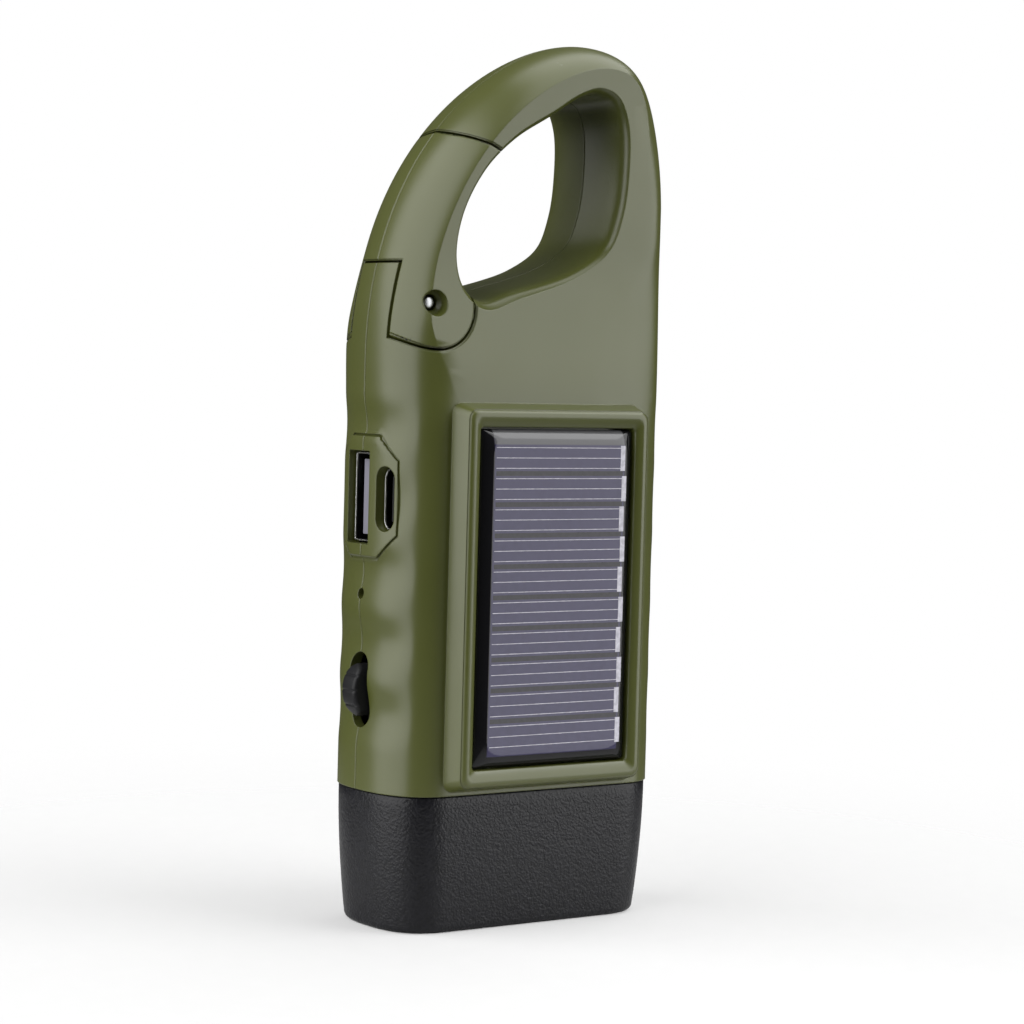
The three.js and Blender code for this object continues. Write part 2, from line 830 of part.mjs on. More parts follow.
// The gate's share of the hook, from the lobe about the pin up to the joint. The joint is turned
// about the pin's axis, with its largest radius at the parting plane, so the gate can swing.
function gateArea(grow, low, high, sweep) {
  const radius = lobeRadius + grow;
  const start = sweep * degrees;
  const inner = jointInnerAngle * degrees;
  const beyond = jointRadius + grow + cutOverrun;
  const band = polygon([
    [pinX + radius * Math.cos(start), pinZ + radius * Math.sin(start)],
    [pinX + beyond * Math.cos(inner), pinZ + beyond * Math.sin(inner)],
    [pinX - bodyHalfWidth, pinZ + 2 * jointRadius],
    [pinX - bodyHalfWidth, pinZ],
    [pinX, pinZ],
  ]);
  const crown = [];
  if (low < 0) crown.push([jointRadius + grow + (jointFaceDrop * low) / hookFrontDepth, low]);
  crown.push([jointRadius + grow, 0]);
  if (high > 0) crown.push([jointRadius + grow - (jointFaceDrop * high) / hookFrontDepth, high]);
  const swing = turnedAlongY([[0, low], ...crown, [0, high]], arcJoint).translate([pinX, 0, pinZ]);
  return alongY(band, low, high).intersect(swing).add(alongY(disc(radius, pinX, pinZ), low, high, arcFine));
}

// The shells' tongue between the gate's two cheeks
function tongue() {
  const stripRight = pinX - tongueStripX;
  const stripLeft = -bodyHalfWidth - cutOverrun;
  const wedge = new THREE.Shape();
  wedge.moveTo(pinX, pinZ);
  wedge.absarc(pinX, pinZ, 2 * lobeRadius, tongueWedgeStart * degrees, tongueWedgeEnd * degrees);
  const strip = polygon([
    [stripLeft, pinZ - 2 * lobeRadius],
    [stripRight, pinZ - 2 * lobeRadius],
    [stripRight, pinZ + tongueRise],
    [stripLeft, pinZ + tongueRise],
  ]);
  const shapes = [strip, wedge, disc(tongueHubRadius, pinX, pinZ)];
  return joinAll(shapes.map((shape) => alongY(shape, -tongueHalfWidth, tongueHalfWidth)));
}

function gateSlot() {
  const half = tongueHalfWidth + gateGap;
  const stripRight = pinX - tongueStripX + gateGap;
  const stripLeft = -bodyHalfWidth - cutOverrun;
  const strip = polygon([
    [stripLeft, pinZ - 2 * lobeRadius],
    [stripRight, pinZ - 2 * lobeRadius],
    [stripRight, pinZ + tongueRise + gateGap],
    [stripLeft, pinZ + tongueRise + gateGap],
  ]);
  const root = rectangle(4 * lobeRadius, 2 * lobeRadius, 0, pinX, pinZ + gateWebLift - lobeRadius);
  const shapes = [strip, root, disc(tongueHubRadius + gateGap, pinX, pinZ)];
  return joinAll(shapes.map((shape) => alongY(shape, -half, half)));
}

function springPocket() {
  const round = alongY(disc(springPocketRadius, pinX, pinZ), -springPocketHalfWidth, springPocketHalfWidth);
  const legSpace = rectangle(
    springWire + 2 * fitGap,
    2 * (springLegLength + 2 * fitGap),
    0,
    pinX - springCoilRadius,
    pinZ,
  );
  return round.add(alongY(legSpace, -springPocketHalfWidth, springPocketHalfWidth));
}

function roundY(radius, low, high, x, z, segments = arcMedium) {
  return alongY(disc(radius, x, z), low, high, segments);
}

// Socket, switch and charge light openings in the -X side
function sideOpenings() {
  const outer = -bodyHalfWidth - cutOverrun;
  const inner = -bodyHalfWidth + shellWall + 2 * cutOverrun;
  const usbA = rectangle(usbAWidth + 2 * fitGap, usbAHeight + 2 * fitGap, 0, usbACentreY, socketCentreZ);
  const usbCWide = usbCWidth + 2 * fitGap;
  const usbCRound = usbCWide / 2 - roundSlack;
  const usbC = rectangle(usbCWide, usbCHeight + 2 * fitGap, usbCRound, usbCCentreY, socketCentreZ);
  const slotRound = switchSlotWidth / 2 - roundSlack;
  const slot = rectangle(switchSlotWidth, switchSlotHeight, slotRound, 0, switchCentreZ);
  const light = disc(chargeHoleRadius, 0, chargeLightZ);
  return joinAll([usbA, usbC, slot, light].map((shape) => alongX(shape, outer, inner, arcCoarse)));
}

const caseScrewPlaces = [
  [-lowScrewX, lowScrewZ],
  [lowScrewX, lowScrewZ],
  [-highScrewX, highScrewZ],
  [highScrewX, highScrewZ],
  [limbScrewX, limbScrewZ],
  [topScrewX, topScrewZ],
];

const boardScrewPlaces = [
  [boardScrewX, boardScrewLowZ],
  [boardScrewX, boardScrewHighZ],
];

const platePosts = [
  [leftPostInset - bodyHalfWidth, switchCentreZ + switchBodyHeight / 2 + leftPostRise],
  [bodyHalfWidth - rightPostInset, crankAxisZ - rightPostDrop],
  [lowPostX, lowPostZ],
];

// What both shells share: the outer half, the skirt and the hollow inside
function shellBlank(face) {
  const sign = face === 'front' ? -1 : 1;
  const reach = sign * (bodyFrontDepth + cutOverrun);
  const [low, high] = [Math.min(0, reach), Math.max(0, reach)];
  const ledgeHigh = bumperHeight + skirtLedge;
  const outer = halfBody(face, bumperHeight, 0);
  const skirt = alongZ(polygon(halfLoop(face, skirtInset)), skirtLow, ledgeHigh);
  const boreOutline = polygon(halfLoop(face, skirtInset + skirtWall));
  const bore = alongZ(boreOutline, skirtLow - cutOverrun, ledgeHigh + cutOverrun);
  const hollow = halfBody(face, ledgeHigh, shellWall)
    .subtract(holeCore(shellWall, low, high))
    .subtract(gateArea(shellWall, low, high, 0));
  const columns = caseScrewPlaces.map(([x, z]) => roundY(caseBossRadius, low, high, x, z));
  const bosses = joinAll(columns).intersect(outer);
  const gateCut = gateArea(gateGap, low - cutOverrun, high + cutOverrun, 0).subtract(tongue());
  return outer
    .add(skirt)
    .subtract(bore)
    .subtract(hollow)
    .add(bosses)
    .subtract(holeCutter())
    .subtract(gateCut)
    .subtract(sideOpenings())
    .subtract(springPocket())
    .subtract(roundY(pinRadius + fitGap, -bodyFrontDepth, bodyRearDepth, pinX, pinZ));
}

// Rounded rectangle of points that faces -Y
function panelLoop(width, height, corner, y, centreZ = frameCentreZ) {
  const loop = [];
  const turns = [
    [1, -1, -Math.PI / 2],
    [1, 1, 0],
    [-1, 1, Math.PI / 2],
    [-1, -1, Math.PI],
  ];
  for (const [right, up, start] of turns) {
    for (let step = 0; step <= cornerSteps; step += 1) {
      const angle = start + (Math.PI / 2) * (step / cornerSteps);
      const x = right * (width / 2 - corner) + corner * Math.cos(angle);
      const z = centreZ + up * (height / 2 - corner) + corner * Math.sin(angle);
      loop.push(new THREE.Vector3(x, y, z));
    }
  }
  return loop;
}

function panelFrame() {
  const bandWidth = ridgeWidth - 2 * ridgeRound;
  const bandHeight = ridgeHeight - 2 * ridgeRound;
  const base = -(bodyFrontDepth - shellWall / 2);
  return loft(
    [
      panelLoop(frameWidth, frameHeight, frameCorner, base),
      panelLoop(frameWidth, frameHeight, frameCorner, -bodyFrontDepth),
      panelLoop(ridgeWidth, ridgeHeight, frameCorner, -(ridgeReach - ridgeRound)),
      panelLoop(bandWidth, bandHeight, frameCorner, -ridgeReach),
    ],
    frontView,
  );
}

function panelPocket() {
  const mouthWidth = ridgeWidth - 2 * (ridgeRound + ridgeBand);
  const mouthHeight = ridgeHeight - 2 * (ridgeRound + ridgeBand);
  const overWidth = mouthWidth + ridgeRound;
  const overHeight = mouthHeight + ridgeRound;
  return loft(
    [
      panelLoop(overWidth, overHeight, panelPocketCorner, -(ridgeReach + ridgeRound)),
      panelLoop(mouthWidth, mouthHeight, panelPocketCorner, -ridgeReach),
      panelLoop(panelPocketWidth, panelPocketHeight, panelPocketCorner, -pocketEdgeReach),
      panelLoop(panelPocketWidth, panelPocketHeight, panelPocketCorner, -panelPocketFloor),
    ],
    frontView,
  );
}

function frontShell() {
  const wireZ = frameCentreZ + panelPocketHeight / 2 - 2 * wireHoleRadius;
  const wallBack = -(bodyFrontDepth - shellWall) + cutOverrun;
  const posts = boardScrewPlaces.map(([x, z]) =>
    roundY(boardPostRadius, -bodyFrontDepth, boardFrontY - seatGap, x, z),
  );
  const pilots = caseScrewPlaces.map(([x, z]) =>
    roundY(caseScrewRadius + fitGap, caseScrewSeat - caseScrewLength - fitGap, cutOverrun, x, z, arcCoarse),
  );
  const boardPilots = boardScrewPlaces.map(([x, z]) =>
    roundY(boardScrewRadius + fitGap, boardFrontY - boardScrewLength, 0, x, z, arcCoarse),
  );
  return shellBlank('front')
    .add(joinAll(posts).intersect(halfBody('front', bumperHeight, 0)))
    .add(panelFrame().subtract(gateArea(gateGap, -ridgeReach - cutOverrun, 0, 0)))
    .subtract(panelPocket())
    .subtract(roundY(wireHoleRadius, -bodyFrontDepth, wallBack, 0, wireZ, arcCoarse))
    .subtract(joinAll(pilots))
    .subtract(joinAll(boardPilots));
}

function rearShell() {
  const outside = bodyRearDepth + cutOverrun;
  const heads = caseScrewPlaces.map(([x, z]) =>
    roundY(caseScrewHeadRadius + fitGap, caseScrewSeat, outside, x, z, arcMedium),
  );
  const shanks = caseScrewPlaces.map(([x, z]) =>
    roundY(caseScrewRadius + fitGap, -cutOverrun, caseScrewSeat + cutOverrun, x, z, arcCoarse),
  );
  const postLow = gearPlateHigh + seatGap;
  const posts = platePosts.map(([x, z]) => roundY(platePostRadius, postLow, bodyRearDepth, x, z));
  const postPilots = platePosts.map(([x, z]) =>
    roundY(plateScrewRadius + fitGap, 0, gearPlateLow + plateScrewLength + fitGap, x, z, arcCoarse),
  );
  const axleSeat = roundY(axleRadius + fitGap, 0, bodyRearDepth - shellWall / 2, idlerX, idlerZ, arcCoarse);
  return shellBlank('rear')
    .add(joinAll(posts).intersect(halfBody('rear', bumperHeight, 0)))
    .add(roundY(hubPadRadius, bodyRearDepth - shellWall / 2, hubPadReach, 0, crankAxisZ, arcFine))
    .subtract(roundY(bushingRadius + fitGap, 0, outside, 0, crankAxisZ))
    .subtract(joinAll(heads))
    .subtract(joinAll(shanks))
    .subtract(joinAll(postPilots))
    .subtract(axleSeat);
}

function carabinerGate() {
  const front = -hookFrontDepth - cutOverrun * 2;
  const rear = hookRearDepth + cutOverrun * 2;
  const ring = halfBody('front', hookLow - cutOverrun, 0).add(halfBody('rear', hookLow - cutOverrun, 0));
  return ring
    .subtract(holeCutter())
    .intersect(gateArea(0, front, rear, gateSweep))
    .subtract(gateSlot())
    .subtract(roundY(pinRadius + fitGap, front, rear, pinX, pinZ))
    .subtract(roundY(pinRecessRadius, front, -pinFrontReach, pinX, pinZ));
}

function rubberBumper() {
  const top = bumperHeight - seatGap;
  const steps = [
    [0, bumperFootInset + bumperFootRound],
    [bumperFootRound / 3, bumperFootInset + bumperFootRound / 3],
    [bumperFootRound, bumperFootInset],
    ...bumperFlareShares.map(([up, out]) => [
      mix(bumperFootRound, top, up),
      mix(bumperFootInset, bumperTopInset, out),
    ]),
    [top, bumperTopInset],
  ];
  const outer = loft(steps.map(([z, inset]) => fullLoop(inset, z)), levelView);
  const pocketInset = skirtInset - fitGap;
  const pocketLoops = [bumperFloor, top + cutOverrun].map((z) => fullLoop(pocketInset, z));
  const pocket = loft(pocketLoops, levelView);
  const window = rectangle(windowWidth, windowDepth, windowCorner, 0, lampCentreY);
  const lensWidth = windowWidth + 2 * (lensLap + fitGap);
  const lensDepth = windowDepth + 2 * (lensLap + fitGap);
  const lensSeat = rectangle(lensWidth, lensDepth, windowCorner + lensLap, 0, lampCentreY);
  return outer
    .subtract(pocket)
    .subtract(alongZ(window, -cutOverrun, bumperFloor + cutOverrun, arcCoarse))
    .subtract(alongZ(lensSeat, lensLow - seatGap, bumperFloor + cutOverrun, arcCoarse));
}

function frontLens() {
  const width = windowWidth + 2 * lensLap;
  const depth = windowDepth + 2 * lensLap;
  const outline = rectangle(width, depth, windowCorner + lensLap, 0, lampCentreY);
  return alongZ(outline, lensLow, lensLow + lensThickness, arcCoarse);
}

const reflectorLow = lensLow + lensThickness + fitGap;
const reflectorHigh = reflectorLow + reflectorHeight;
const lampPlaces = [-lampSpacing, 0, lampSpacing];

function reflector() {
  const outline = rectangle(reflectorWidth, reflectorDepth, reflectorCorner, 0, lampCentreY);
  const cup = turnedAlongZ(
    [
      [0, reflectorLow - cutOverrun],
      [cupRadius, reflectorLow - cutOverrun],
      [cupRadius, reflectorLow],
      [mix(cupRadius, cupNeckRadius, cupBowlShare), reflectorLow + cupDepth / 2],
      [cupNeckRadius, reflectorLow + cupDepth],
      [cupNeckRadius, reflectorHigh + cutOverrun],
      [0, reflectorHigh + cutOverrun],
    ],
    arcMedium,
  );
  const cups = lampPlaces.map((x) => cup.translate([x, lampCentreY, 0]));
  return alongZ(outline, reflectorLow, reflectorHigh, arcCoarse).subtract(joinAll(cups));
}

function lampBoard() {
  const outline = rectangle(reflectorWidth, reflectorDepth, reflectorCorner, 0, lampCentreY);
  const low = reflectorHigh + seatGap;
  return alongZ(outline, low, low + lampBoardThickness, arcCoarse);
}

// An LED with its domed end down, its base plane at the origin
function led() {
  const domeSteps = cornerSteps;
  const dome = [];
  for (let step = 0; step <= domeSteps; step += 1) {
    const angle = (Math.PI / 2) * (step / domeSteps);
    dome.push([ledRadius * Math.sin(angle), -ledLength + ledRadius * (1 - Math.cos(angle))]);
  }
  const base = [
    [ledRadius, -ledBaseHeight],
    [ledBaseRadius, -ledBaseHeight],
    [ledBaseRadius, 0],
    [0, 0],
  ];
  return turnedAlongZ([...dome, ...base], arcMedium);
}

const panelWidth = panelPocketWidth - 2 * fitGap;
const panelHeight = panelPocketHeight - 2 * fitGap;
const panelBackHigh = panelPocketFloor + seatGap + panelBackThickness;

function solarBacking() {
  const outline = rectangle(panelWidth, panelHeight, panelPocketCorner, 0, frameCentreZ);
  return alongY(outline, -panelBackHigh, -(panelPocketFloor + seatGap));
}

function solarPanel() {
  const rise = panelTopReach - panelEdgeReach;
  const dome = [
    [-(panelBackHigh + seatGap), 0],
    [-panelEdgeReach, 0],
    ...domeShares.map(([up, inward]) => [-(panelEdgeReach + rise * up), panelDomeWidth * inward]),
  ];
  const loops = dome.map(([y, inset]) => {
    const doubled = 2 * inset;
    return panelLoop(panelWidth - doubled, panelHeight - doubled, panelPocketCorner, y);
  });
  return loft(loops, frontView);
}

const socketX = -bodyHalfWidth + socketRecess;

function usbAShell() {
  const outer = rectangle(usbAWidth, usbAHeight, usbASheet, usbACentreY, socketCentreZ);
  const innerWidth = usbAWidth - 2 * usbASheet;
  const inner = rectangle(innerWidth, usbAHeight - 2 * usbASheet, 0, usbACentreY, socketCentreZ);
  const tube = alongX(outer, socketX, socketX + usbALength);
  return tube.subtract(alongX(inner, socketX - cutOverrun, socketX + usbALength + cutOverrun));
}

function usbATongue() {
  const end = socketX + usbALength;
  const bladeY = usbACentreY - usbATongueShift;
  const blade = rectangle(usbATongueThickness, usbATongueHeight, 0, bladeY, socketCentreZ);
  const clear = 2 * (usbASheet + fitGap);
  const back = rectangle(usbAWidth - clear, usbAHeight - clear, 0, usbACentreY, socketCentreZ);
  return alongX(blade, socketX + usbATongueGap, end).add(alongX(back, end - socketBack, end));
}

function usbCShell() {
  const outer = rectangle(usbCWidth, usbCHeight, usbCWidth / 2 - roundSlack, usbCCentreY, socketCentreZ);
  const innerWidth = usbCWidth - 2 * usbCSheet;
  const innerHeight = usbCHeight - 2 * usbCSheet;
  const innerRound = innerWidth / 2 - roundSlack;
  const inner = rectangle(innerWidth, innerHeight, innerRound, usbCCentreY, socketCentreZ);
  const tube = alongX(outer, socketX, socketX + usbCLength, arcCoarse);
  return tube.subtract(alongX(inner, socketX - cutOverrun, socketX + usbCLength + cutOverrun, arcCoarse));
}

function usbCTongue() {
  const end = socketX + usbCLength;
  const blade = rectangle(usbCTongueThickness, usbCTongueHeight, 0, usbCCentreY, socketCentreZ);
  const clear = 2 * (usbCSheet + fitGap);
  const backRound = (usbCWidth - clear) / 2 - roundSlack;
  const back = rectangle(usbCWidth - clear, usbCHeight - clear, backRound, usbCCentreY, socketCentreZ);
  return alongX(blade, socketX + usbATongueGap, end).add(alongX(back, end - socketBack, end));
}

const boardBackY = boardFrontY + boardThickness;

// A side-looking light on the board, with its pipe in the charge hole
function chargeLight() {
  const size = chargeBaseSize;
  const base = rectangle(size, size, 0, boardBackY + size / 2, chargeLightZ);
  const block = alongX(base, boardLeftX, boardLeftX + size);
  const pipe = disc(chargePipeRadius, -fitGap / 2, chargeLightZ);
  return block.add(alongX(pipe, -bodyHalfWidth + shellWall / 2, boardLeftX + size / 2, arcCoarse));
}

function switchBody() {
  const centreY = boardBackY + switchBodyWidth / 2;
  const leverSlotWidth = knobLeverThickness + 2 * fitGap;
  const leverSlotHeight = knobLeverThickness + 2 * (switchTravel + fitGap);
  const inner = switchFrontX + switchBodyLength;
  const outline = rectangle(switchBodyWidth, switchBodyHeight, 0, centreY, switchCentreZ);
  const body = alongX(outline, switchFrontX, inner);
  const slot = rectangle(leverSlotWidth, leverSlotHeight, 0, 0, switchCentreZ);
  return body.subtract(alongX(slot, switchFrontX - cutOverrun, switchFrontX + switchSlotDepth));
}

function switchKnob() {
  const outline = rectangle(knobWidth, knobHeight, knobWidth / 2 - roundSlack, 0, 0);
  const bulge = knobReach - knobEdgeReach;
  const halfTall = knobHeight / 2;
  const arcRadius = (halfTall * halfTall + bulge * bulge) / (2 * bulge);
  const profile = [];
  const halfAngle = Math.asin(halfTall / arcRadius);
  for (let step = 0; step <= knobArcSteps; step += 1) {
    const angle = mix(-halfAngle, halfAngle, step / knobArcSteps);
    profile.push([-knobReach + arcRadius * (1 - Math.cos(angle)), arcRadius * Math.sin(angle)]);
  }
  const crowned = alongY(
    polygon([[-knobBackReach, -halfTall], ...profile, [-knobBackReach, halfTall]]),
    -knobWidth,
    knobWidth,
  );
  const head = alongX(outline, -knobReach - cutOverrun, -knobBackReach, arcCoarse).intersect(crowned);
  const size = knobLeverThickness;
  const leverEnd = -knobBackReach + knobLeverLength;
  return head.add(alongX(rectangle(size, size, 0), -knobBackReach - seatGap, leverEnd));
}

function mainBoard() {
  const outline = polygon([
    [boardLeftX, boardStripLow],
    [boardStripRightX, boardStripLow],
    [boardStripRightX, boardLow],
    [boardRightX, boardLow],
    [boardRightX, boardHigh],
    [boardLeftX, boardHigh],
  ]);
  const holes = boardScrewPlaces.map(([x, z]) =>
    roundY(boardScrewRadius + fitGap, -bodyFrontDepth, bodyRearDepth, x, z, arcCoarse),
  );
  return alongY(outline, boardFrontY, boardBackY).subtract(joinAll(holes));
}

function battery() {
  const front = -(bodyFrontDepth - shellWall) + batteryGap;
  const steps = [
    [front, batteryBevel],
    [front + batteryBevel, 0],
    [front + batteryThickness - batteryBevel, 0],
    [front + batteryThickness, batteryBevel],
  ];
  const loops = steps.map(([y, inset]) => {
    const width = batteryWidth - 2 * inset;
    const height = batteryHeight - 2 * inset;
    return panelLoop(width, height, batteryCorner - inset, y, batteryCentreZ);
  });
  return loft(loops, frontView);
}

function gatePin() {
  return roundY(pinRadius, -pinFrontReach, pinRearReach, pinX, pinZ, arcCoarse);
}

// One unbroken wire: a leg, the coil about Y and the other leg
function gateSpring() {
  const halfLength = (springTurns * springPitch) / 2;
  const stops = [[Math.PI, -halfLength, springLegLength]];
  const steps = springTurns * springStepsPerTurn;
  for (let step = 0; step <= steps; step += 1) {
    const angle = Math.PI + (2 * Math.PI * step) / springStepsPerTurn;
    stops.push([angle, mix(-halfLength, halfLength, step / steps), 0]);
  }
  stops.push([Math.PI, halfLength, -springLegLength]);
  const rings = stops.map(([angle, y, rise]) => {
    const outward = new THREE.Vector3(Math.cos(angle), 0, Math.sin(angle));
    const middle = new THREE.Vector3(pinX, y, pinZ + rise);
    const centre = middle.addScaledVector(outward, springCoilRadius);
    const ring = [];
    for (let side = 0; side < springSides; side += 1) {
      const turn = (2 * Math.PI * side) / springSides;
      const point = centre.clone().addScaledVector(outward, (springWire / 2) * Math.cos(turn));
      ring.push(point.setY(y + (springWire / 2) * Math.sin(turn)));
    }
    return ring;
  });
  return loft(rings, levelView);
}

// Gears with straight-flanked teeth, one tooth centred on the given angle
function gearOutline(teeth, module, centreX, centreZ, phase) {
  const pitchRadius = (teeth * module) / 2;
  const root = pitchRadius - toothRootShare * module;
  const tip = pitchRadius + toothTipShare * module;
  const points = [];
  for (let tooth = 0; tooth < teeth; tooth += 1) {
    const centre = phase * degrees + (2 * Math.PI * tooth) / teeth;
    const half = Math.PI / teeth;
    const corners = [
      [root, -half * toothBaseShare],
      [tip, -half * toothCrestShare],
      [tip, half * toothCrestShare],
      [root, half * toothBaseShare],
    ];
    for (const [radius, offset] of corners) {
      const angle = centre + offset;
      points.push([centreX + radius * Math.cos(angle), centreZ + radius * Math.sin(angle)]);
    }
  }
  return polygon(points);
}

const halfTurn = 180;
const crankScrewSeat = armInnerReach + armThickness - crankScrewRecessDepth;

function crankGear() {
  const outline = gearOutline(crankTeeth, firstToothSize, 0, crankAxisZ, firstPairAngle);
  const pilotLow = crankScrewSeat - crankScrewLength - fitGap;
  const pilotRadius = crankScrewRadius + fitGap;
  const square = rectangle(shaftSquare, shaftSquare, 0, 0, crankAxisZ);
  return alongY(outline, crankGearLow, crankGearHigh)
    .add(roundY(shaftStubRadius, gearPlateLow, crankGearLow + seatGap, 0, crankAxisZ))
    .add(roundY(shaftRadius, crankGearHigh - seatGap, armInnerReach - fitGap, 0, crankAxisZ))
    .add(alongY(square, crankGearHigh, crankScrewSeat - seatGap))
    .subtract(roundY(pilotRadius, pilotLow, crankScrewSeat + cutOverrun, 0, crankAxisZ, arcCoarse));
}

function intermediateGear() {
  const pinionPhase = firstPairAngle + halfTurn + halfTurn / firstPinionTeeth;
  const pinion = gearOutline(firstPinionTeeth, firstToothSize, idlerX, idlerZ, pinionPhase);
  const wheel = gearOutline(secondGearTeeth, secondToothSize, idlerX, idlerZ, secondPairAngle);
  const pinionLow = secondGearHigh - seatGap;
  return alongY(pinion, pinionLow, crankGearHigh)
    .add(alongY(wheel, secondGearLow, secondGearHigh))
    .subtract(roundY(axleRadius + fitGap, 0, bodyRearDepth, idlerX, idlerZ, arcCoarse));
}

function intermediateAxle() {
  const high = bodyRearDepth - shellWall / 2 - fitGap;
  return roundY(axleRadius, gearPlateLow, high, idlerX, idlerZ, arcCoarse);
}

function bushing() {
  const high = hubPadReach - seatGap;
  return roundY(bushingRadius, bushingInnerReach, high, 0, crankAxisZ).subtract(
    roundY(shaftRadius + fitGap, 0, armInnerReach, 0, crankAxisZ),
  );
}

const generatorTop = gearPlateLow - seatGap;

function generatorCase() {
  const inner = roundY(
    generatorRadius - generatorWall,
    generatorBottom + generatorWall,
    generatorTop + cutOverrun,
    rotorX,
    rotorZ,
    arcFine,
  );
  return roundY(generatorRadius, generatorBottom, generatorTop, rotorX, rotorZ, arcFine)
    .subtract(inner)
    .subtract(roundY(axleRadius + fitGap, generatorBottom - cutOverrun, 0, rotorX, rotorZ, arcCoarse));
}

function generatorWinding() {
  const [low, high] = [generatorBottom + generatorWall + windingGap, generatorTop - windingGap];
  return roundY(windingOuter, low, high, rotorX, rotorZ, arcFine).subtract(
    roundY(windingInner, low - cutOverrun, high + cutOverrun, rotorX, rotorZ, arcMedium),
  );
}

function generatorRotor() {
  const phase = secondPairAngle + halfTurn + halfTurn / rotorTeeth;
  const pinion = gearOutline(rotorTeeth, secondToothSize, rotorX, rotorZ, phase);
  const [low, high] = [generatorBottom + generatorWall + windingGap, generatorTop - windingGap];
  const [axleLow, axleHigh] = [generatorBottom + windingGap, secondGearHigh + fitGap];
  return roundY(magnetRadius, low, high, rotorX, rotorZ)
    .add(roundY(axleRadius, axleLow, axleHigh, rotorX, rotorZ, arcCoarse))
    .add(alongY(pinion, secondGearLow, secondGearHigh));
}

function gearPlate() {
  const postDisc = platePostRadius + plateMargin;
  const corners = [...platePosts, [idlerX, idlerZ]];
  const discs = corners.map(([x, z]) => roundY(postDisc, gearPlateLow, gearPlateHigh, x, z));
  const holes = [
    ...platePosts.map(([x, z]) => [x, z, plateScrewRadius + fitGap]),
    [idlerX, idlerZ, axleRadius + fitGap],
    [rotorX, rotorZ, axleRadius + fitGap],
    [0, crankAxisZ, shaftStubRadius + fitGap],
  ];
  const cuts = holes.map(([x, z, radius]) => roundY(radius, 0, bodyRearDepth, x, z, arcCoarse));
  return wasm.Manifold.hull(discs).subtract(joinAll(cuts));
}

// A screw with its head below the origin and its shank up +Z
function screw(headRadius, headHeight, shankRadius, length) {
  const profile = [
    [0, -headHeight],
    [headRadius, -headHeight],
    [headRadius, 0],
    [shankRadius, 0],
    [shankRadius, length],
    [0, length],
  ];
  const arm = rectangle(2 * driveArmShare * headRadius, driveSlotWidth, 0);
  const long = alongZ(arm, -2 * headHeight, driveSlotDepth - headHeight);
  return turnedAlongZ(profile, arcCoarse).subtract(long).subtract(long.rotate([0, 0, halfTurn / 2]));
}

// Crank: an arm with a slot at its end, in which the knob folds down

function edgedDisc(radius, low, high, x, z) {
  const round = armEdgeRound;
  const profile = [
    [0, low],
    [radius - round, low],
    [radius, low + round],
    [radius, high - round],
    [radius - round, high],
    [0, high],
  ];
  return turnedAlongY(profile, arcFine).translate([x, 0, z]);
}

const knobAxisZ = crankAxisZ + crankThrow;
const handleHigh = knobAxisZ - clevisNeck;
const handleLow = handleHigh - handleLength;

function crankArm() {
  const armOuter = armInnerReach + armThickness;
  const hub = edgedDisc(armHubRadius, armInnerReach, armOuter, 0, crankAxisZ);
  const tip = edgedDisc(armTipRadius, armInnerReach, armOuter, 0, knobAxisZ);
  const prongX = armTipRadius - armEdgeRound;
  const lug = alongX(disc(armLugRadius, foldPinReach, knobAxisZ), -prongX, prongX);
  const slotLow = handleLow - fitGap;
  const slotHigh = knobAxisZ + 2 * armTipRadius;
  const slot = rectangle(knobSlotWidth, slotHigh - slotLow, 0, 0, (slotLow + slotHigh) / 2);
  const squareHole = rectangle(shaftSquare + 2 * fitGap, shaftSquare + 2 * fitGap, 0, 0, crankAxisZ);
  const beyond = armOuter + 2 * armLugRadius;
  const pinOutline = disc(foldPinRadius + fitGap, foldPinReach, knobAxisZ);
  const pinHole = alongX(pinOutline, -armHubRadius, armHubRadius, arcCoarse);
  return wasm.Manifold.hull([hub, tip])
    .add(lug)
    .subtract(alongY(slot, 0, beyond))
    .subtract(alongY(squareHole, 0, beyond))
    .subtract(roundY(crankScrewRecessRadius, armOuter - crankScrewRecessDepth, beyond, 0, crankAxisZ))
    .subtract(pinHole);
}

function foldPin() {
  const end = armTipRadius - armEdgeRound;
  return alongX(disc(foldPinRadius, foldPinReach, knobAxisZ), -end, end, arcCoarse);
}

function turnedOnKnob(profile, segments) {
  return turnedAlongZ(profile, segments).translate([0, foldPinReach, 0]);
}

const handleRecessFloor = handleLow + handleRecessDepth;

function knobBracket() {
  const barrel = alongX(disc(clevisRadius, foldPinReach, knobAxisZ), -clevisWidth / 2, clevisWidth / 2);
  const pinOutline = disc(foldPinRadius + fitGap, foldPinReach, knobAxisZ);
  const pinHole = alongX(pinOutline, -clevisWidth, clevisWidth, arcCoarse);
  const collarRadius = 2 * spindleRadius;
  const spindle = turnedOnKnob(
    [
      [0, handleRecessFloor],
      [spindleRadius, handleRecessFloor],
      [spindleRadius, handleHigh + fitGap],
      [collarRadius, handleHigh + fitGap],
      [collarRadius, knobAxisZ - clevisRadius / 2],
      [0, knobAxisZ - clevisRadius / 2],
    ],
    arcMedium,
  );
  const pilotHigh = handleRecessFloor + handleScrewLength + fitGap;
  const pilotRadius = handleScrewRadius + fitGap;
  const pilot = turnedOnKnob(
    [
      [0, handleLow],
      [pilotRadius, handleLow],
      [pilotRadius, pilotHigh],
      [0, pilotHigh],
    ],
    arcCoarse,
  );
  return barrel.add(spindle).subtract(pinHole).subtract(pilot);
}

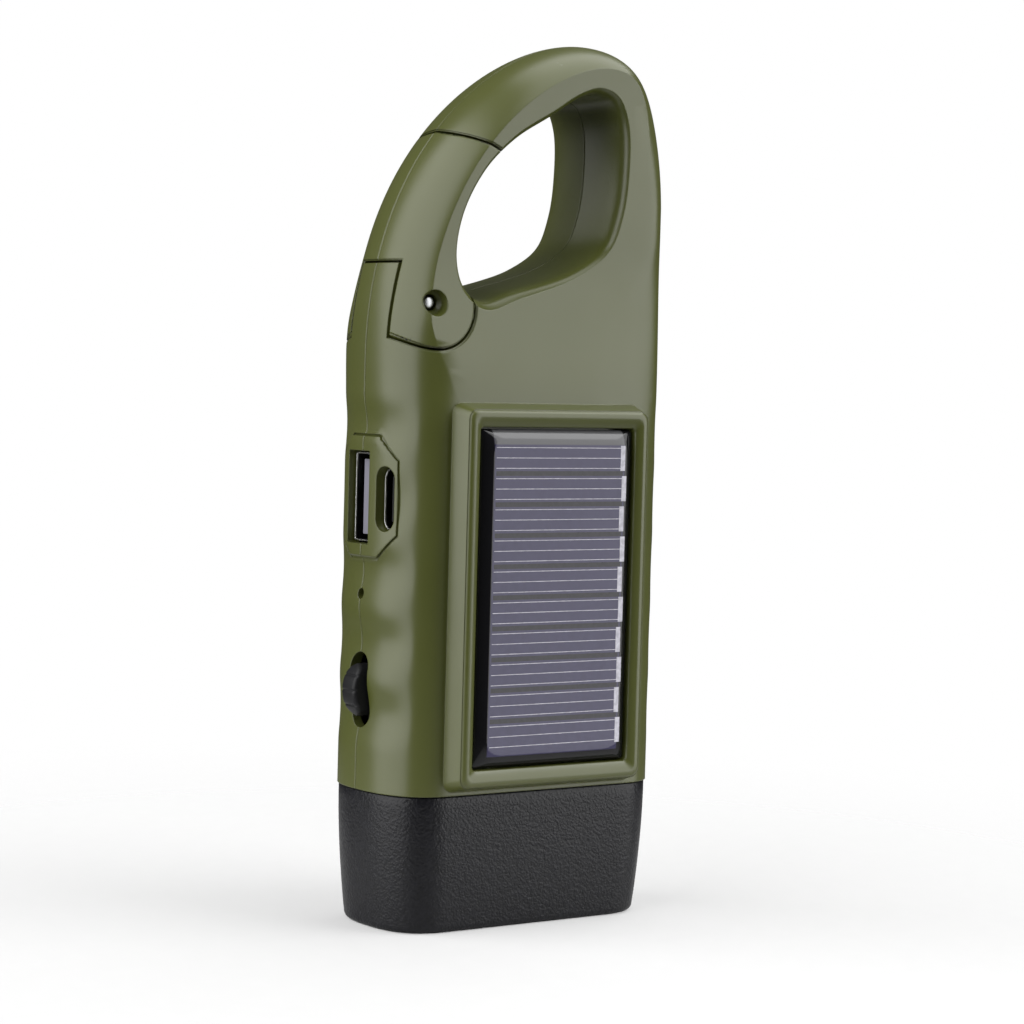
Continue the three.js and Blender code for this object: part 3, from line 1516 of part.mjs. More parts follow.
function crankKnob() {
  const round = armEdgeRound;
  const bore = handleBore;
  return turnedOnKnob(
    [
      [bore, handleRecessFloor],
      [handleRecessRadius, handleRecessFloor],
      [handleRecessRadius, handleLow],
      [handleRadius - round, handleLow],
      [handleRadius, handleLow + round],
      [mix(handleRadius, handleWaist, waistShares[0]), mix(handleLow, handleHigh, waistShares[1])],
      [handleWaist, mix(handleLow, handleHigh, waistShares[2])],
      [mix(handleRadius, handleWaist, waistShares[3]), mix(handleLow, handleHigh, waistShares[4])],
      [handleRadius, handleHigh - round],
      [handleRadius - round, handleHigh],
      [bore, handleHigh],
      [bore, handleRecessFloor],
    ],
    arcMedium,
  );
}

// The whole object

const light = new THREE.Group();
light.name = 'hand_crank_flashlight';
const boxCentreX = (bodyHalfWidth - knobReach) / 2;
const boxCentreY = (foldPinReach + handleRadius - ridgeReach) / 2;
light.position.set(-boxCentreX, -boxCentreY, 0);

function place(name, solid, material, position = [0, 0, 0]) {
  const geometry = toGeometry(solid);
  geometry.computeVertexNormals();
  const mesh = new THREE.Mesh(geometry, material.clone());
  mesh.name = name;
  mesh.position.set(...position);
  light.add(mesh);
}

place('front_shell', frontShell(), greenPlastic);
place('rear_shell', rearShell(), greenPlastic);
place('snap_gate', carabinerGate(), greenPlastic);
place('gate_pin', gatePin(), steel);
place('gate_spring', gateSpring(), steel);
place('rubber_bumper', rubberBumper(), blackRubber);
place('front_lens', frontLens(), clearPlastic);
place('reflector', reflector(), chromed);
place('lamp_board', lampBoard(), boardGreen);
const lampNames = ['led_left', 'led_centre', 'led_right'];
lampNames.forEach((name, index) => {
  place(name, led(), clearPlastic, [lampPlaces[index], lampCentreY, reflectorHigh + seatGap]);
});
place('solar_backing', solarBacking(), boardGreen);
place('solar_panel', solarPanel(), cellBlue);
place('main_board', mainBoard(), boardGreen);
place('usb_a_shell', usbAShell(), steel);
place('usb_a_tongue', usbATongue(), whitePlastic);
place('usb_c_shell', usbCShell(), steel);
place('usb_c_tongue', usbCTongue(), blackPlastic);
place('charge_light', chargeLight(), clearPlastic);
place('switch_body', switchBody(), blackPlastic);
place('switch_knob', switchKnob(), blackPlastic, [0, 0, switchCentreZ]);
place('battery', battery(), batteryFoil);
place('generator_case', generatorCase(), steel);
place('generator_winding', generatorWinding(), copper);
place('generator_rotor', generatorRotor(), steel);
place('gear_plate', gearPlate(), naturalPlastic);
place('intermediate_gear', intermediateGear(), naturalPlastic);
place('intermediate_axle', intermediateAxle(), steel);
place('crank_gear', crankGear(), naturalPlastic);
place('crank_bushing', bushing(), brass);
place('crank_arm', crankArm(), greenPlastic);
place('knob_fold_pin', foldPin(), steel);
place('knob_bracket', knobBracket(), blackPlastic);
place('crank_knob', crankKnob(), blackPlastic);

const towardFront = [halfTurn / 2, 0, 0];
const towardRear = [-halfTurn / 2, 0, 0];
const caseScrew = screw(
  caseScrewHeadRadius,
  caseScrewHeadHeight,
  caseScrewRadius,
  caseScrewLength,
).rotate(towardFront);
caseScrewPlaces.forEach(([x, z], index) => {
  place(`case_screw_${index + 1}`, caseScrew, steel, [x, caseScrewSeat, z]);
});
const boardScrew = screw(
  boardScrewHeadRadius,
  boardScrewHeadHeight,
  boardScrewRadius,
  boardScrewLength,
).rotate(towardFront);
boardScrewPlaces.forEach(([x, z], index) => {
  place(`board_screw_${index + 1}`, boardScrew, steel, [x, boardBackY, z]);
});
const plateScrew = screw(
  plateScrewHeadRadius,
  plateScrewHeadHeight,
  plateScrewRadius,
  plateScrewLength,
).rotate(towardRear);
platePosts.forEach(([x, z], index) => {
  place(`gear_plate_screw_${index + 1}`, plateScrew, steel, [x, gearPlateLow, z]);
});
const crankScrew = screw(
  crankScrewHeadRadius,
  crankScrewHeadHeight,
  crankScrewRadius,
  crankScrewLength,
).rotate(towardFront);
place('crank_screw', crankScrew, steel, [0, crankScrewSeat, crankAxisZ]);
const knobScrew = screw(
  handleScrewHeadRadius,
  handleScrewHeadHeight,
  handleScrewRadius,
  handleScrewLength,
);
place('knob_screw', knobScrew, steel, [0, foldPinReach, handleRecessFloor - seatGap]);

export default light;
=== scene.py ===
"""Looks of the hand crank flashlight: fine skins for its moulded pieces, and finishes for them all.

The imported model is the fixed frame. Sizes here are in millimetres about the parting plane of the
two shells, and go through SHIFT and MM into the frame.
"""

import json
import math

import bpy
import numpy as np
from mathutils import Matrix, Vector


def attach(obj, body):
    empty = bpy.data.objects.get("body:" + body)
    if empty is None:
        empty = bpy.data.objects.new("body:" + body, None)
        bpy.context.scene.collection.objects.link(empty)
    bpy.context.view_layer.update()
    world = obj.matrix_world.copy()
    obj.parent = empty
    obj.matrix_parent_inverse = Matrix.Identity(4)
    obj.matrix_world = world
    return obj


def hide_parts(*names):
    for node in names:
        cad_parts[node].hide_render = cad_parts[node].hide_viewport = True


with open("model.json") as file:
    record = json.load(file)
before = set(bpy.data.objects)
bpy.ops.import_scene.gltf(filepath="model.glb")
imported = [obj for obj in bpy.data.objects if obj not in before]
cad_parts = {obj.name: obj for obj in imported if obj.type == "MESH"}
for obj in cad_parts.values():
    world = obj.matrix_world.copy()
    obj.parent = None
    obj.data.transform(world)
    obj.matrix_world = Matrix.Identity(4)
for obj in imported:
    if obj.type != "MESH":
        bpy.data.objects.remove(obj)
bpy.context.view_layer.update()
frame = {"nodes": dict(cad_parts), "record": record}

MM = 0.001
SHIFT = Vector((0.875, -2.225, 0.0))

# ---- Sizes shared with the solids ----

BODY_HALF_WIDTH = 24.35
BODY_FRONT, BODY_REAR = 12.5, 11.8
HOOK_FRONT, HOOK_REAR = 9.8, 9.0
TOTAL_HEIGHT = 132.3
BUMPER_HEIGHT = 20.5
WALL = 2.0
OVERRUN = 2.0
FRONT_EDGE, REAR_EDGE = 9.0, 9.5
FRONT_FULLNESS, REAR_FULLNESS = 0.76, 0.84
SKIRT_INSET, BORE_INSET = 2.6, 4.2
GROOVE_FIRST, GROOVE_PITCH, GROOVE_COUNT, GROOVE_DEPTH = 31.8, 10.55, 5, 0.65
PLATE_CENTRE, PLATE_HALF, PLATE_REACH = 63.75, 9.05, 7.9
CORNER_WIDE, CORNER_HIGH = 4.2, 3.6
FRAME_CENTRE = 49.5
PIN_X, PIN_Z = -19.05, 92.3
LOBE_RADIUS = 6.6
GATE_GAP = 0.35
JOINT_RADIUS, JOINT_DROP = 26.1, 1.0
TONGUE_HALF, TONGUE_HUB, TONGUE_RISE, TONGUE_STRIP = 4.8, 4.6, 5.7, 0.5
PIN_HOLE, SCREW_HOLE, PILOT_HOLE, FOLD_HOLE = 1.2, 1.4, 1.1, 1.3
CRANK_Z, CRANK_THROW = 44.0, 36.5
HUB_RADIUS, TIP_RADIUS = 11.0, 7.2
KNOB_Z = CRANK_Z + CRANK_THROW
FOLD_Y = 16.4
LAMP_Y = (BODY_REAR - BODY_FRONT) / 2
SOCKET_X, SOCKET_Z, SWITCH_Z = -22.9, 63.6, 35.2
USB_A_Y, USB_C_Y, USB_A_LENGTH, USB_C_LENGTH = 1.35, -5.45, 13.6, 7.35
LIP = 0.2


def mix(a, b, share):
    return a + (b - a) * share


def smooth(value, low, high):
    share = np.clip((value - low) / (high - low), 0.0, 1.0)
    return share * share * (3 - 2 * share)


def add(name, data):
    """A new object in the scene."""
    thing = bpy.data.objects.new(name, data)
    bpy.context.scene.collection.objects.link(thing)
    return thing


# ---- Finishes: node materials written as expressions ----


class Wire:
    """An output socket. Arithmetic on wires adds Math nodes to its graph."""

    def __init__(self, graph, socket):
        self.graph, self.socket = graph, socket

    def math(self, operation, *others):
        values = dict(enumerate((self, *others)))
        return self.graph.node("ShaderNodeMath", values, operation=operation)

    def __add__(self, other):
        return self.math("ADD", other)

    def __sub__(self, other):
        return self.math("SUBTRACT", other)

    def __rsub__(self, other):
        return self.graph.node("ShaderNodeMath", {0: other, 1: self}, operation="SUBTRACT")

    def __mul__(self, other):
        return self.math("MULTIPLY", other)

    def step(self, low, high):
        """0 below low, 1 above high, and smooth between."""
        values = {"Value": self, 1: low, 2: high}
        return self.graph.node("ShaderNodeMapRange", values, interpolation_type="SMOOTHSTEP")


class Graph:
    """A node tree, and the way to add a node of any kind to it."""

    def __init__(self, tree):
        self.tree = tree

    def join(self, socket, value):
        if isinstance(value, Wire):
            self.tree.links.new(value.socket, socket)
        elif socket.type == "RGBA":
            socket.default_value = (*value, 1.0)
        else:
            socket.default_value = value

    def node(self, kind, values, output=0, **settings):
        made = self.tree.nodes.new(kind)
        for name, value in settings.items():
            setattr(made, name, value)
        for key, value in values.items():
            self.join(made.inputs[key], value)
        return Wire(self, made.outputs[output])


class Finish(Graph):
    """A material with a Principled shader, and the forms that finishes are made of."""

    def __init__(self, name, **values):
        self.material = bpy.data.materials.new(name)
        self.material.use_nodes = True
        super().__init__(self.material.node_tree)
        self.shader = self.tree.nodes["Principled BSDF"]
        self.place = self.node("ShaderNodeTexCoord", {}, "Object")
        self.set(**values)

    def set(self, **values):
        for name, value in values.items():
            self.join(self.shader.inputs[name.replace("_", " ")], value)
        return self.material

    def axes(self):
        """The place along X, Y and Z, in metres."""
        return [self.node("ShaderNodeSeparateXYZ", {0: self.place}, output) for output in range(3)]

    def noise(self, scale, detail=3.0, place=None):
        values = {"Vector": place or self.place, "Scale": scale, "Detail": detail}
        return self.node("ShaderNodeTexNoise", values)

    def blend(self, share, first, second):
        return self.node("ShaderNodeMix", {0: share, 6: first, 7: second}, 2, data_type="RGBA")

    def soft_edges(self, radius):
        """Normals that round the edges off, by a radius in millimetres."""
        return self.node("ShaderNodeBevel", {"Radius": radius * MM}, samples=6)

    def bump(self, height, distance, strength=1.0, normal=None):
        """Relief by a distance in millimetres."""
        values = {"Height": height, "Distance": distance * MM, "Strength": strength}
        if normal:
            values["Normal"] = normal
        return self.node("ShaderNodeBump", values)


def moulded(name, color, dark, roughness, edge=0.15, shine=0.5):
    """Satin moulded plastic: faint flow marks, a fine sparked grain and softened edges."""
    finish = Finish(name, Specular_IOR_Level=shine)
    flow, cloudy, grain = finish.noise(38.0, 2.0), finish.noise(160.0, 4.0), finish.noise(5200.0, 2.0)
    return finish.set(
        Base_Color=finish.blend(flow.step(0.3, 0.75), color, dark),
        Roughness=cloudy * 0.1 + (roughness - 0.05),
        Normal=finish.bump(grain, 0.006, 0.6, finish.soft_edges(edge)),
    )


def metal(name, color, roughness, spread, stretch=(1.0, 1.0, 1.0)):
    """Metal with faint stains and marks. Marks that are stretched look brushed."""
    finish = Finish(name, Metallic=1.0)
    values = {0: finish.place, 1: stretch}
    place = finish.node("ShaderNodeVectorMath", values, operation="MULTIPLY")
    marks, stain = finish.noise(900.0, 3.0, place), finish.noise(220.0)
    dark = tuple(channel * 0.82 for channel in color)
    return finish.set(
        Base_Color=finish.blend(stain.step(0.35, 0.8), color, dark),
        Roughness=marks * (2 * spread) + (roughness - spread),
        Normal=finish.bump(marks, 0.004, 0.5, finish.soft_edges(0.08)),
    )


def socket_steel_painted_shade():
    """Bright at the rim of the sockets, and painted near black with depth, as the shade inside them."""
    finish = Finish("socket steel", Metallic=1.0)
    mouth = (SOCKET_X + SHIFT.x) * MM
    # Painted shade: from a quarter millimetre in from the mouth, the steel is coloured near black.
    deep = finish.axes()[0].step(mouth, mouth + 0.25 * MM)
    scuffs = finish.noise(1300.0)
    return finish.set(
        Base_Color=finish.blend(deep, (0.72, 0.72, 0.71), (0.012, 0.012, 0.014)),
        Roughness=scuffs * 0.2 + 0.14,
        Normal=finish.bump(scuffs, 0.01, 0.5, finish.soft_edges(0.1)),
    )


def leather_rubber():
    """Black rubber with a moulded leather grain: fine uneven pads that catch the light."""
    finish = Finish("black rubber", Specular_IOR_Level=0.33)
    values = {"Vector": finish.place, "Scale": 1300.0}
    warp = finish.node("ShaderNodeTexNoise", values, "Color")
    values = {0: warp, 1: (0.4 * MM,) * 3, 2: finish.place}
    moved = finish.node("ShaderNodeVectorMath", values, operation="MULTIPLY_ADD")
    values = {"Vector": moved, "Scale": 2700.0}
    pads = finish.node("ShaderNodeTexVoronoi", values, feature="SMOOTH_F1")
    broad = finish.noise(1100.0, 2.0)
    height = pads * -0.8 + broad * 0.7 + finish.noise(5200.0, 2.0) * 0.3
    return finish.set(
        Base_Color=finish.blend(broad.step(0.3, 0.7), (0.004, 0.004, 0.0056), (0.007, 0.007, 0.0096)),
        Roughness=pads * 0.14 + 0.27,
        Normal=finish.bump(height, 0.11, 0.7, finish.soft_edges(0.3)),
    )


def clear_plastic():
    finish = Finish("clear plastic", Transmission_Weight=1.0, IOR=1.49)
    haze = finish.noise(260.0, 2.0)
    return finish.set(
        Base_Color=finish.blend(haze, (0.93, 0.96, 0.97), (0.97, 0.98, 0.99)),
        Roughness=haze * 0.04 + 0.01,
    )


def circuit_board():
    """Green solder mask with the copper tracks showing faintly under it."""
    finish = Finish("circuit board", Coat_Weight=0.4)
    x = finish.axes()[0]
    tracks = (x * 900.0).math("SINE").step(0.55, 0.75) * finish.noise(120.0, 1.0).step(0.5, 0.55)
    return finish.set(
        Base_Color=finish.blend(tracks, (0.012, 0.085, 0.03), (0.03, 0.15, 0.05)),
        Roughness=finish.noise(700.0) * 0.15 + 0.3,
        Normal=finish.bump(tracks, 0.03),
    )


def copper_wire():
    """Enamelled wire wound about Y, turn beside turn, with painted shade between the turns and a
    painted highlight on each crest.
    """
    finish = Finish("copper wire", Metallic=0.9, Coat_Weight=0.6)
    turns = (finish.axes()[1] * (2 * math.pi / (0.3 * MM))).math("SINE")
    return finish.set(
        # Painted shade and highlight: the colour goes dark between turns and bright on their crests,
        # with the wave of the relief.
        Base_Color=finish.blend(turns.step(-1.0, 1.0), (0.22, 0.05, 0.015), (0.55, 0.2, 0.07)),
        Roughness=finish.noise(900.0) * 0.15 + 0.25,
        Normal=finish.bump(turns, 0.05),
    )


def foil_pouch():
    finish = Finish("battery foil", Metallic=0.85)
    wrinkles = finish.noise(140.0, 4.0)
    return finish.set(
        Base_Color=finish.blend(wrinkles, (0.5, 0.51, 0.53), (0.34, 0.35, 0.38)),
        Roughness=wrinkles * 0.3 + 0.2,
        Normal=finish.bump(wrinkles, 0.25, 0.7, finish.soft_edges(0.4)),
    )


CELL_HALF, CELL_LOW, CELL_HIGH = 11.48, 27.84, 71.6
RESIN_GLOSS = {"Specular_IOR_Level": 0.0, "Coat_Weight": 0.75, "Coat_Roughness": 0.03}


def panel_resin_and_painted_light():
    """Clear resin over violet-grey cells, seen as one glossy surface, with painted light in its colour:
    a painted dark reflection around the cells, the cells' violet carried onto the rolled edges as
    painted light, and a painted highlight strip above them.
    """
    finish = Finish("panel resin", **RESIN_GLOSS)
    x, y, z = finish.axes()
    across = (x - SHIFT.x * MM).math("ABSOLUTE")
    up = (z - mix(CELL_LOW, CELL_HIGH, 0.5) * MM).math("ABSOLUTE")
    # Painted light: the cells' violet runs on 1.3 mm past the cells, over the rolled edges above and
    # below.
    half_up = (CELL_HIGH - CELL_LOW) / 2 + 1.3
    beside = 1 - across.step((CELL_HALF + 0.15) * MM, (CELL_HALF + 0.45) * MM)
    inside = beside * (1 - up.step(half_up * MM, (half_up + 0.2) * MM))
    violet = finish.blend(finish.noise(900.0), (0.032, 0.029, 0.072), (0.056, 0.051, 0.110))
    cell = finish.blend(finish.noise(90.0).step(0.3, 0.8), violet, (0.050, 0.045, 0.098))
    # Painted highlight: a pale grey strip over the rolled edge above the cells.
    pale = beside * z.step((CELL_HIGH + 0.3) * MM, (CELL_HIGH + 0.6) * MM)
    # Painted dark reflection: near black on the rolled edges beside and below the cells.
    under = finish.blend(inside, (0.006, 0.006, 0.007), cell)
    return finish.set(
        Base_Color=finish.blend(pale, under, (0.115, 0.115, 0.12)),
        Roughness=inside * 0.12 + 0.1,
        Normal=finish.bump(finish.noise(60.0, 2.0), 0.05, 0.5, finish.soft_edges(0.2)),
    )


def printed(name, light, dark):
    """What is printed on the cells, slightly patchy."""
    finish = Finish(name, **RESIN_GLOSS)
    patchy = finish.noise(1500.0)
    return finish.set(
        Base_Color=finish.blend(patchy.step(0.3, 0.7), light, dark),
        Roughness=patchy * 0.2 + 0.3,
        Normal=finish.bump(patchy, 0.004),
    )


MATERIALS = {
    "green_plastic": moulded(
        "olive plastic", (0.082, 0.092, 0.021), (0.074, 0.084, 0.018), 0.31, edge=0.25, shine=0.62
    ),
    "black_rubber": leather_rubber(),
    "black_plastic": moulded(
        "black plastic", (0.012, 0.012, 0.013), (0.009, 0.009, 0.010), 0.42, shine=0.25
    ),
    "white_plastic": moulded("white plastic", (0.21, 0.205, 0.25), (0.185, 0.18, 0.22), 0.4),
    "natural_plastic": moulded("natural plastic", (0.74, 0.70, 0.56), (0.68, 0.64, 0.50), 0.42),
    "clear_plastic": clear_plastic(),
    "chromed_plastic": metal("chromed plastic", (0.86, 0.87, 0.88), 0.08, 0.02),
    "steel": metal("plated steel", (0.56, 0.57, 0.58), 0.3, 0.06, (1.0, 1.0, 0.07)),
    "brass": metal("turned brass", (0.72, 0.5, 0.18), 0.28, 0.06),
    "copper_wire": copper_wire(),
    "circuit_board": circuit_board(),
    "solar_resin": panel_resin_and_painted_light(),
    "battery_foil": foil_pouch(),
}
SOCKET_STEEL_PAINTED_SHADE = socket_steel_painted_shade()
NODE_SLOT = {entry["node"]: entry["material_slot"] for entry in frame["record"]["subparts"]}
for node_name, node in frame["nodes"].items():
    for place in node.material_slots:
        place.material = MATERIALS[NODE_SLOT[node_name]]

# ---- Solids: closed meshes that are joined and cut ----


class Solid:
    """A closed mesh in millimetres, with the ways to combine it with others."""

    def __init__(self, points, faces):
        mesh = bpy.data.meshes.new("solid")
        mesh.from_pydata(points, [], faces)
        self.object = add("solid", mesh)

    def combine(self, other, operation):
        modifier = self.object.modifiers.new("combine", "BOOLEAN")
        modifier.operation, modifier.solver, modifier.object = operation, "MANIFOLD", other.object
        result = settled_mesh(self.object)
        self.object.modifiers.clear()
        self.object.data = result
        bpy.data.objects.remove(other.object)

    def cut(self, *others):
        for other in others:
            self.combine(other, "DIFFERENCE")
        return self

    def join(self, *others):
        for other in others:
            self.combine(other, "UNION")
        return self

    def trim(self, other):
        self.combine(other, "INTERSECT")
        return self

    def copy(self):
        twin = Solid([], [])
        twin.object.data = self.object.data.copy()
        return twin

    def piece(self, name, body, node, crease=32, material=None):
        """Moves the solid into the frame, as a piece that stands for a CAD node."""
        self.object.data.transform(Matrix.Scale(MM, 4) @ Matrix.Translation(SHIFT))
        dress(self.object, name, body, NODE_SLOT[node], [node], crease, material)


def settled_mesh(thing):
    """The mesh that an object's modifiers make."""
    bpy.context.view_layer.update()
    evaluated = thing.evaluated_get(bpy.context.evaluated_depsgraph_get())
    return bpy.data.meshes.new_from_object(evaluated)


def dress(thing, name, body, slot, nodes=(), crease=32, material=None):
    """Names and shades a piece, gives it the material of its slot, puts it under its body and hides the
    nodes it stands for.
    """
    thing.name = thing.data.name = name
    thing.data.materials.clear()
    thing.data.materials.append(material or MATERIALS[slot])
    thing.data.shade_smooth()
    thing.data.set_sharp_from_angle(angle=math.radians(crease))
    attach(thing, body)
    if nodes:
        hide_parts(*nodes)


def closed(points, faces):
    """A solid from loose faces: points that coincide are welded, and the faces turned outwards."""
    seen, places, kept = {}, [], []
    for point in points:
        key = tuple(round(float(value), 5) for value in point)
        if key not in seen:
            seen[key] = len(kept)
            kept.append(key)
        places.append(seen[key])
    once = [tuple(dict.fromkeys(places[index] for index in face)) for face in faces]
    once = [face for face in once if len(face) > 2]
    spots = np.array(kept)
    volume = 0.0
    for face in once:
        fan = spots[list(face)]
        volume += np.einsum("j,ij->", fan[0], np.cross(fan[1:-1], fan[2:]))
    return Solid(kept, once if volume > 0 else [face[::-1] for face in once])


def loft(loops, caps=(True, True)):
    """Loops with the same number of points, joined into one skin."""
    count = len(loops[0])
    faces = []
    for base in range(0, (len(loops) - 1) * count, count):
        for index in range(count):
            after = (index + 1) % count
            faces.append((base + index, base + after, base + after + count, base + index + count))
    last = (len(loops) - 1) * count
    if caps[0]:
        faces.append(tuple(reversed(range(count))))
    if caps[1]:
        faces.append(tuple(range(last, last + count)))
    return closed([point for loop in loops for point in loop], faces)


AXES = {"X": (2, 0, 1), "Y": (0, 2, 1), "Z": (0, 1, 2)}


def along(axis, outline, level):
    """An outline at one level of an axis. Its own axes are Y and Z, X and Z, or X and Y."""
    return [tuple((a, b, level)[place] for place in AXES[axis]) for a, b in outline]


def prism(outline, axis, low, high):
    return loft([along(axis, outline, level) for level in (low, high)])


def disc(radius, a, b, segments=64):
    turns = [2 * math.pi * step / segments for step in range(segments)]
    return [(a + radius * math.cos(turn), b + radius * math.sin(turn)) for turn in turns]


def rectangle(width, height, radius, a, b, steps=8):
    outline = []
    for quarter, (right, up) in enumerate(((1, -1), (1, 1), (-1, 1), (-1, -1))):
        centre = a + right * (width / 2 - radius), b + up * (height / 2 - radius)
        for step in range(steps + 1):
            angle = math.pi / 2 * (quarter - 1 + step / steps)
            outline.append((centre[0] + radius * math.cos(angle), centre[1] + radius * math.sin(angle)))
    return outline


def box(low, high):
    outline = [(low[0], low[1]), (high[0], low[1]), (high[0], high[1]), (low[0], high[1])]
    return prism(outline, "Z", low[2], high[2])


def turned(profile, axis, a, b, segments=96):
    """A profile of (radius, level), from axis to axis, turned about a line along X, Y or Z."""
    return loft([along(axis, disc(radius, a, b, segments), level) for radius, level in profile])


def bar(radius, axis, a, b, low, high, segments=64):
    return prism(disc(radius, a, b, segments), axis, low, high)


def quarter_round(radius, steps=6, start=0.0):
    """The way from a face round to a side, as pairs of (inset, rise)."""
    turns = np.linspace(start, math.pi / 2, steps + 1)
    return [(radius * (1 - math.sin(turn)), radius * (1 - math.cos(turn))) for turn in turns]


def rounded(outline_at, axis, low, high, edge):
    """A prism with both rims rounded. outline_at(inset) gives its outline, set in."""
    rim = quarter_round(edge)
    levels = [(inset, low + rise) for inset, rise in rim]
    levels += [(inset, high - rise) for inset, rise in reversed(rim)]
    return loft([along(axis, outline_at(inset), level) for inset, level in levels])


# ---- Body surface: the outline's two sides, each with a rounded section ----

HOOK_TOP = (11.6, TOTAL_HEIGHT)
SIDES = {
    "left": ((-BODY_HALF_WIDTH, 84.0), (-BODY_HALF_WIDTH, 117.5), (0.4, TOTAL_HEIGHT), HOOK_TOP),
    "right": ((BODY_HALF_WIDTH, 111.0), (BODY_HALF_WIDTH, 126.5), (20.2, TOTAL_HEIGHT), HOOK_TOP),
}
SIDE_STEPS, FACE_COLUMNS, SEAM = 28, 8, 0.14

# Each face's direction, its depths on body and hook, and its edge's width and fullness
FACES = {
    "front": (-1, (BODY_FRONT, HOOK_FRONT), FRONT_EDGE, FRONT_FULLNESS),
    "rear": (1, (BODY_REAR, HOOK_REAR), REAR_EDGE, REAR_FULLNESS),
}

# The heights over which the section changes from the body's to the hook's
NECK, NECK_EDGE, LIMB_FOOT, LIMB = (77.0, 101.0), (75.0, 91.0), (75.0, 104.0), (108.0, TOTAL_HEIGHT)
HOOK_EDGE, HOOK_REAR_EDGE, LIMB_EDGE = 3.9, 5.1, 5.3
SHOULDER_WIDTH, SHOULDER_RISE, SHOULDER_FALL = 8.2, (70.0, 80.0), (85.0, 104.0)
GROOVE_FADE = math.radians(22), math.radians(56)
SHOULDER_FADE = math.radians(50), math.pi / 2


def station(side, z):
    """The point of a side's outline at one height, with the normal that points into the body."""
    stops = np.array(SIDES[side])
    inward = 1.0 if side == "left" else -1.0
    if z <= stops[0][1]:
        return stops[0][0], np.array((inward, 0.0))
    if z >= TOTAL_HEIGHT:
        return HOOK_TOP[0], np.array((0.0, -1.0))
    low, high = 0.0, 1.0
    for _ in range(40):
        share = (low + high) / 2
        rest = 1 - share
        weights = np.array((rest**3, 3 * share * rest**2, 3 * share**2 * rest, share**3))
        low, high = (share, high) if weights @ stops[:, 1] < z else (low, share)
    tangent = np.diff(stops, axis=0).T @ np.array((rest**2, 2 * share * rest, share**2))
    tangent /= np.linalg.norm(tangent)
    return weights @ stops[:, 0], np.array((tangent[1], -tangent[0])) * inward


def edge_width(side, face, z):
    if face == "rear":
        return mix(REAR_EDGE, HOOK_REAR_EDGE, smooth(z, *NECK_EDGE))
    if side == "left":
        return mix(FRONT_EDGE, HOOK_EDGE, smooth(z, *NECK_EDGE))
    limb = mix(FRONT_EDGE, LIMB_EDGE, smooth(z, *LIMB_FOOT))
    return mix(limb, HOOK_EDGE, smooth(z, *LIMB))


def shoulder_width(side, face, z):
    """How much wider the slope above the panel is, beside the fixed limb."""
    if side == "left" or face == "rear":
        return 0.0
    return SHOULDER_WIDTH * smooth(z, *SHOULDER_RISE) * (1 - smooth(z, *SHOULDER_FALL))


def fullness(side, face, z):
    """The power of the section's curve: 1 for an ellipse, and less for a boxier edge."""
    share = smooth(z, *NECK)
    if face == "rear":
        return mix(REAR_FULLNESS, 0.95, share)
    if side == "left":
        return mix(FRONT_FULLNESS, 1.0, share)
    return mix(FRONT_FULLNESS, mix(0.6, 1.0, smooth(z, *LIMB)), share)


def edge_angle(side, face, z):
    """How far round the section's curve goes. Short of 90 degrees it meets the face at a crease."""
    if face == "rear":
        return math.pi / 2
    heights = NECK_EDGE if side == "left" else LIMB
    return math.radians(mix(90.0, 62.0, smooth(z, *heights)))


def groove_at(z):
    first = GROOVE_FIRST - GROOVE_PITCH / 2
    last = first + GROOVE_COUNT * GROOVE_PITCH
    if z <= first or z >= last:
        return 0.0
    return GROOVE_DEPTH * (1 + math.cos(2 * math.pi * (z - GROOVE_FIRST) / GROOVE_PITCH)) / 2


def plate_flat(reach, z):
    """1 on the eight-sided flat around the sockets, and 0 beside it, where the grooves go on."""
    up = PLATE_HALF - abs(z - PLATE_CENTRE)
    across = PLATE_REACH - np.abs(reach)
    corner = CORNER_HIGH * across + CORNER_WIDE * (up - CORNER_HIGH)
    corner = corner / math.hypot(CORNER_HIGH, CORNER_WIDE)
    return smooth(np.minimum(np.minimum(across, corner), up), -0.3, 0.3)


def section(side, face, z, wall):
    """One side's rounded section at a height, from the parting plane to the edge of the face."""
    x, normal = station(side, z)
    end, power = edge_angle(side, face, z), fullness(side, face, z)
    sign, depths, _, _ = FACES[face]
    depth = mix(*depths, smooth(z, *NECK)) - wall
    seam_angle = math.asin(min(1.0, (SEAM / depth) ** (1 / power)))
    angle = np.concatenate([(0.0, seam_angle), np.linspace(seam_angle, end, SIDE_STEPS)[1:]])
    cosine = np.maximum(np.cos(angle), 0.0) ** power
    bend = (1 - cosine) / (1 - max(math.cos(end), 0.0) ** power)
    bend *= edge_width(side, face, z) - wall / 2
    reach = sign * depth * (np.sin(angle) / math.sin(end)) ** power
    groove = groove_at(z) * (1 - smooth(angle, *GROOVE_FADE)) if wall < 1 else 0.0
    if side == "left":
        groove = groove * (1 - plate_flat(reach, z))
    slope = shoulder_width(side, face, z) * smooth(angle, *SHOULDER_FADE)
    inset = wall + groove + bend + slope
    inset[0] += SEAM if wall == 0 else 0.0
    return np.stack([x + normal[0] * inset, reach, z + normal[1] * inset], axis=1)


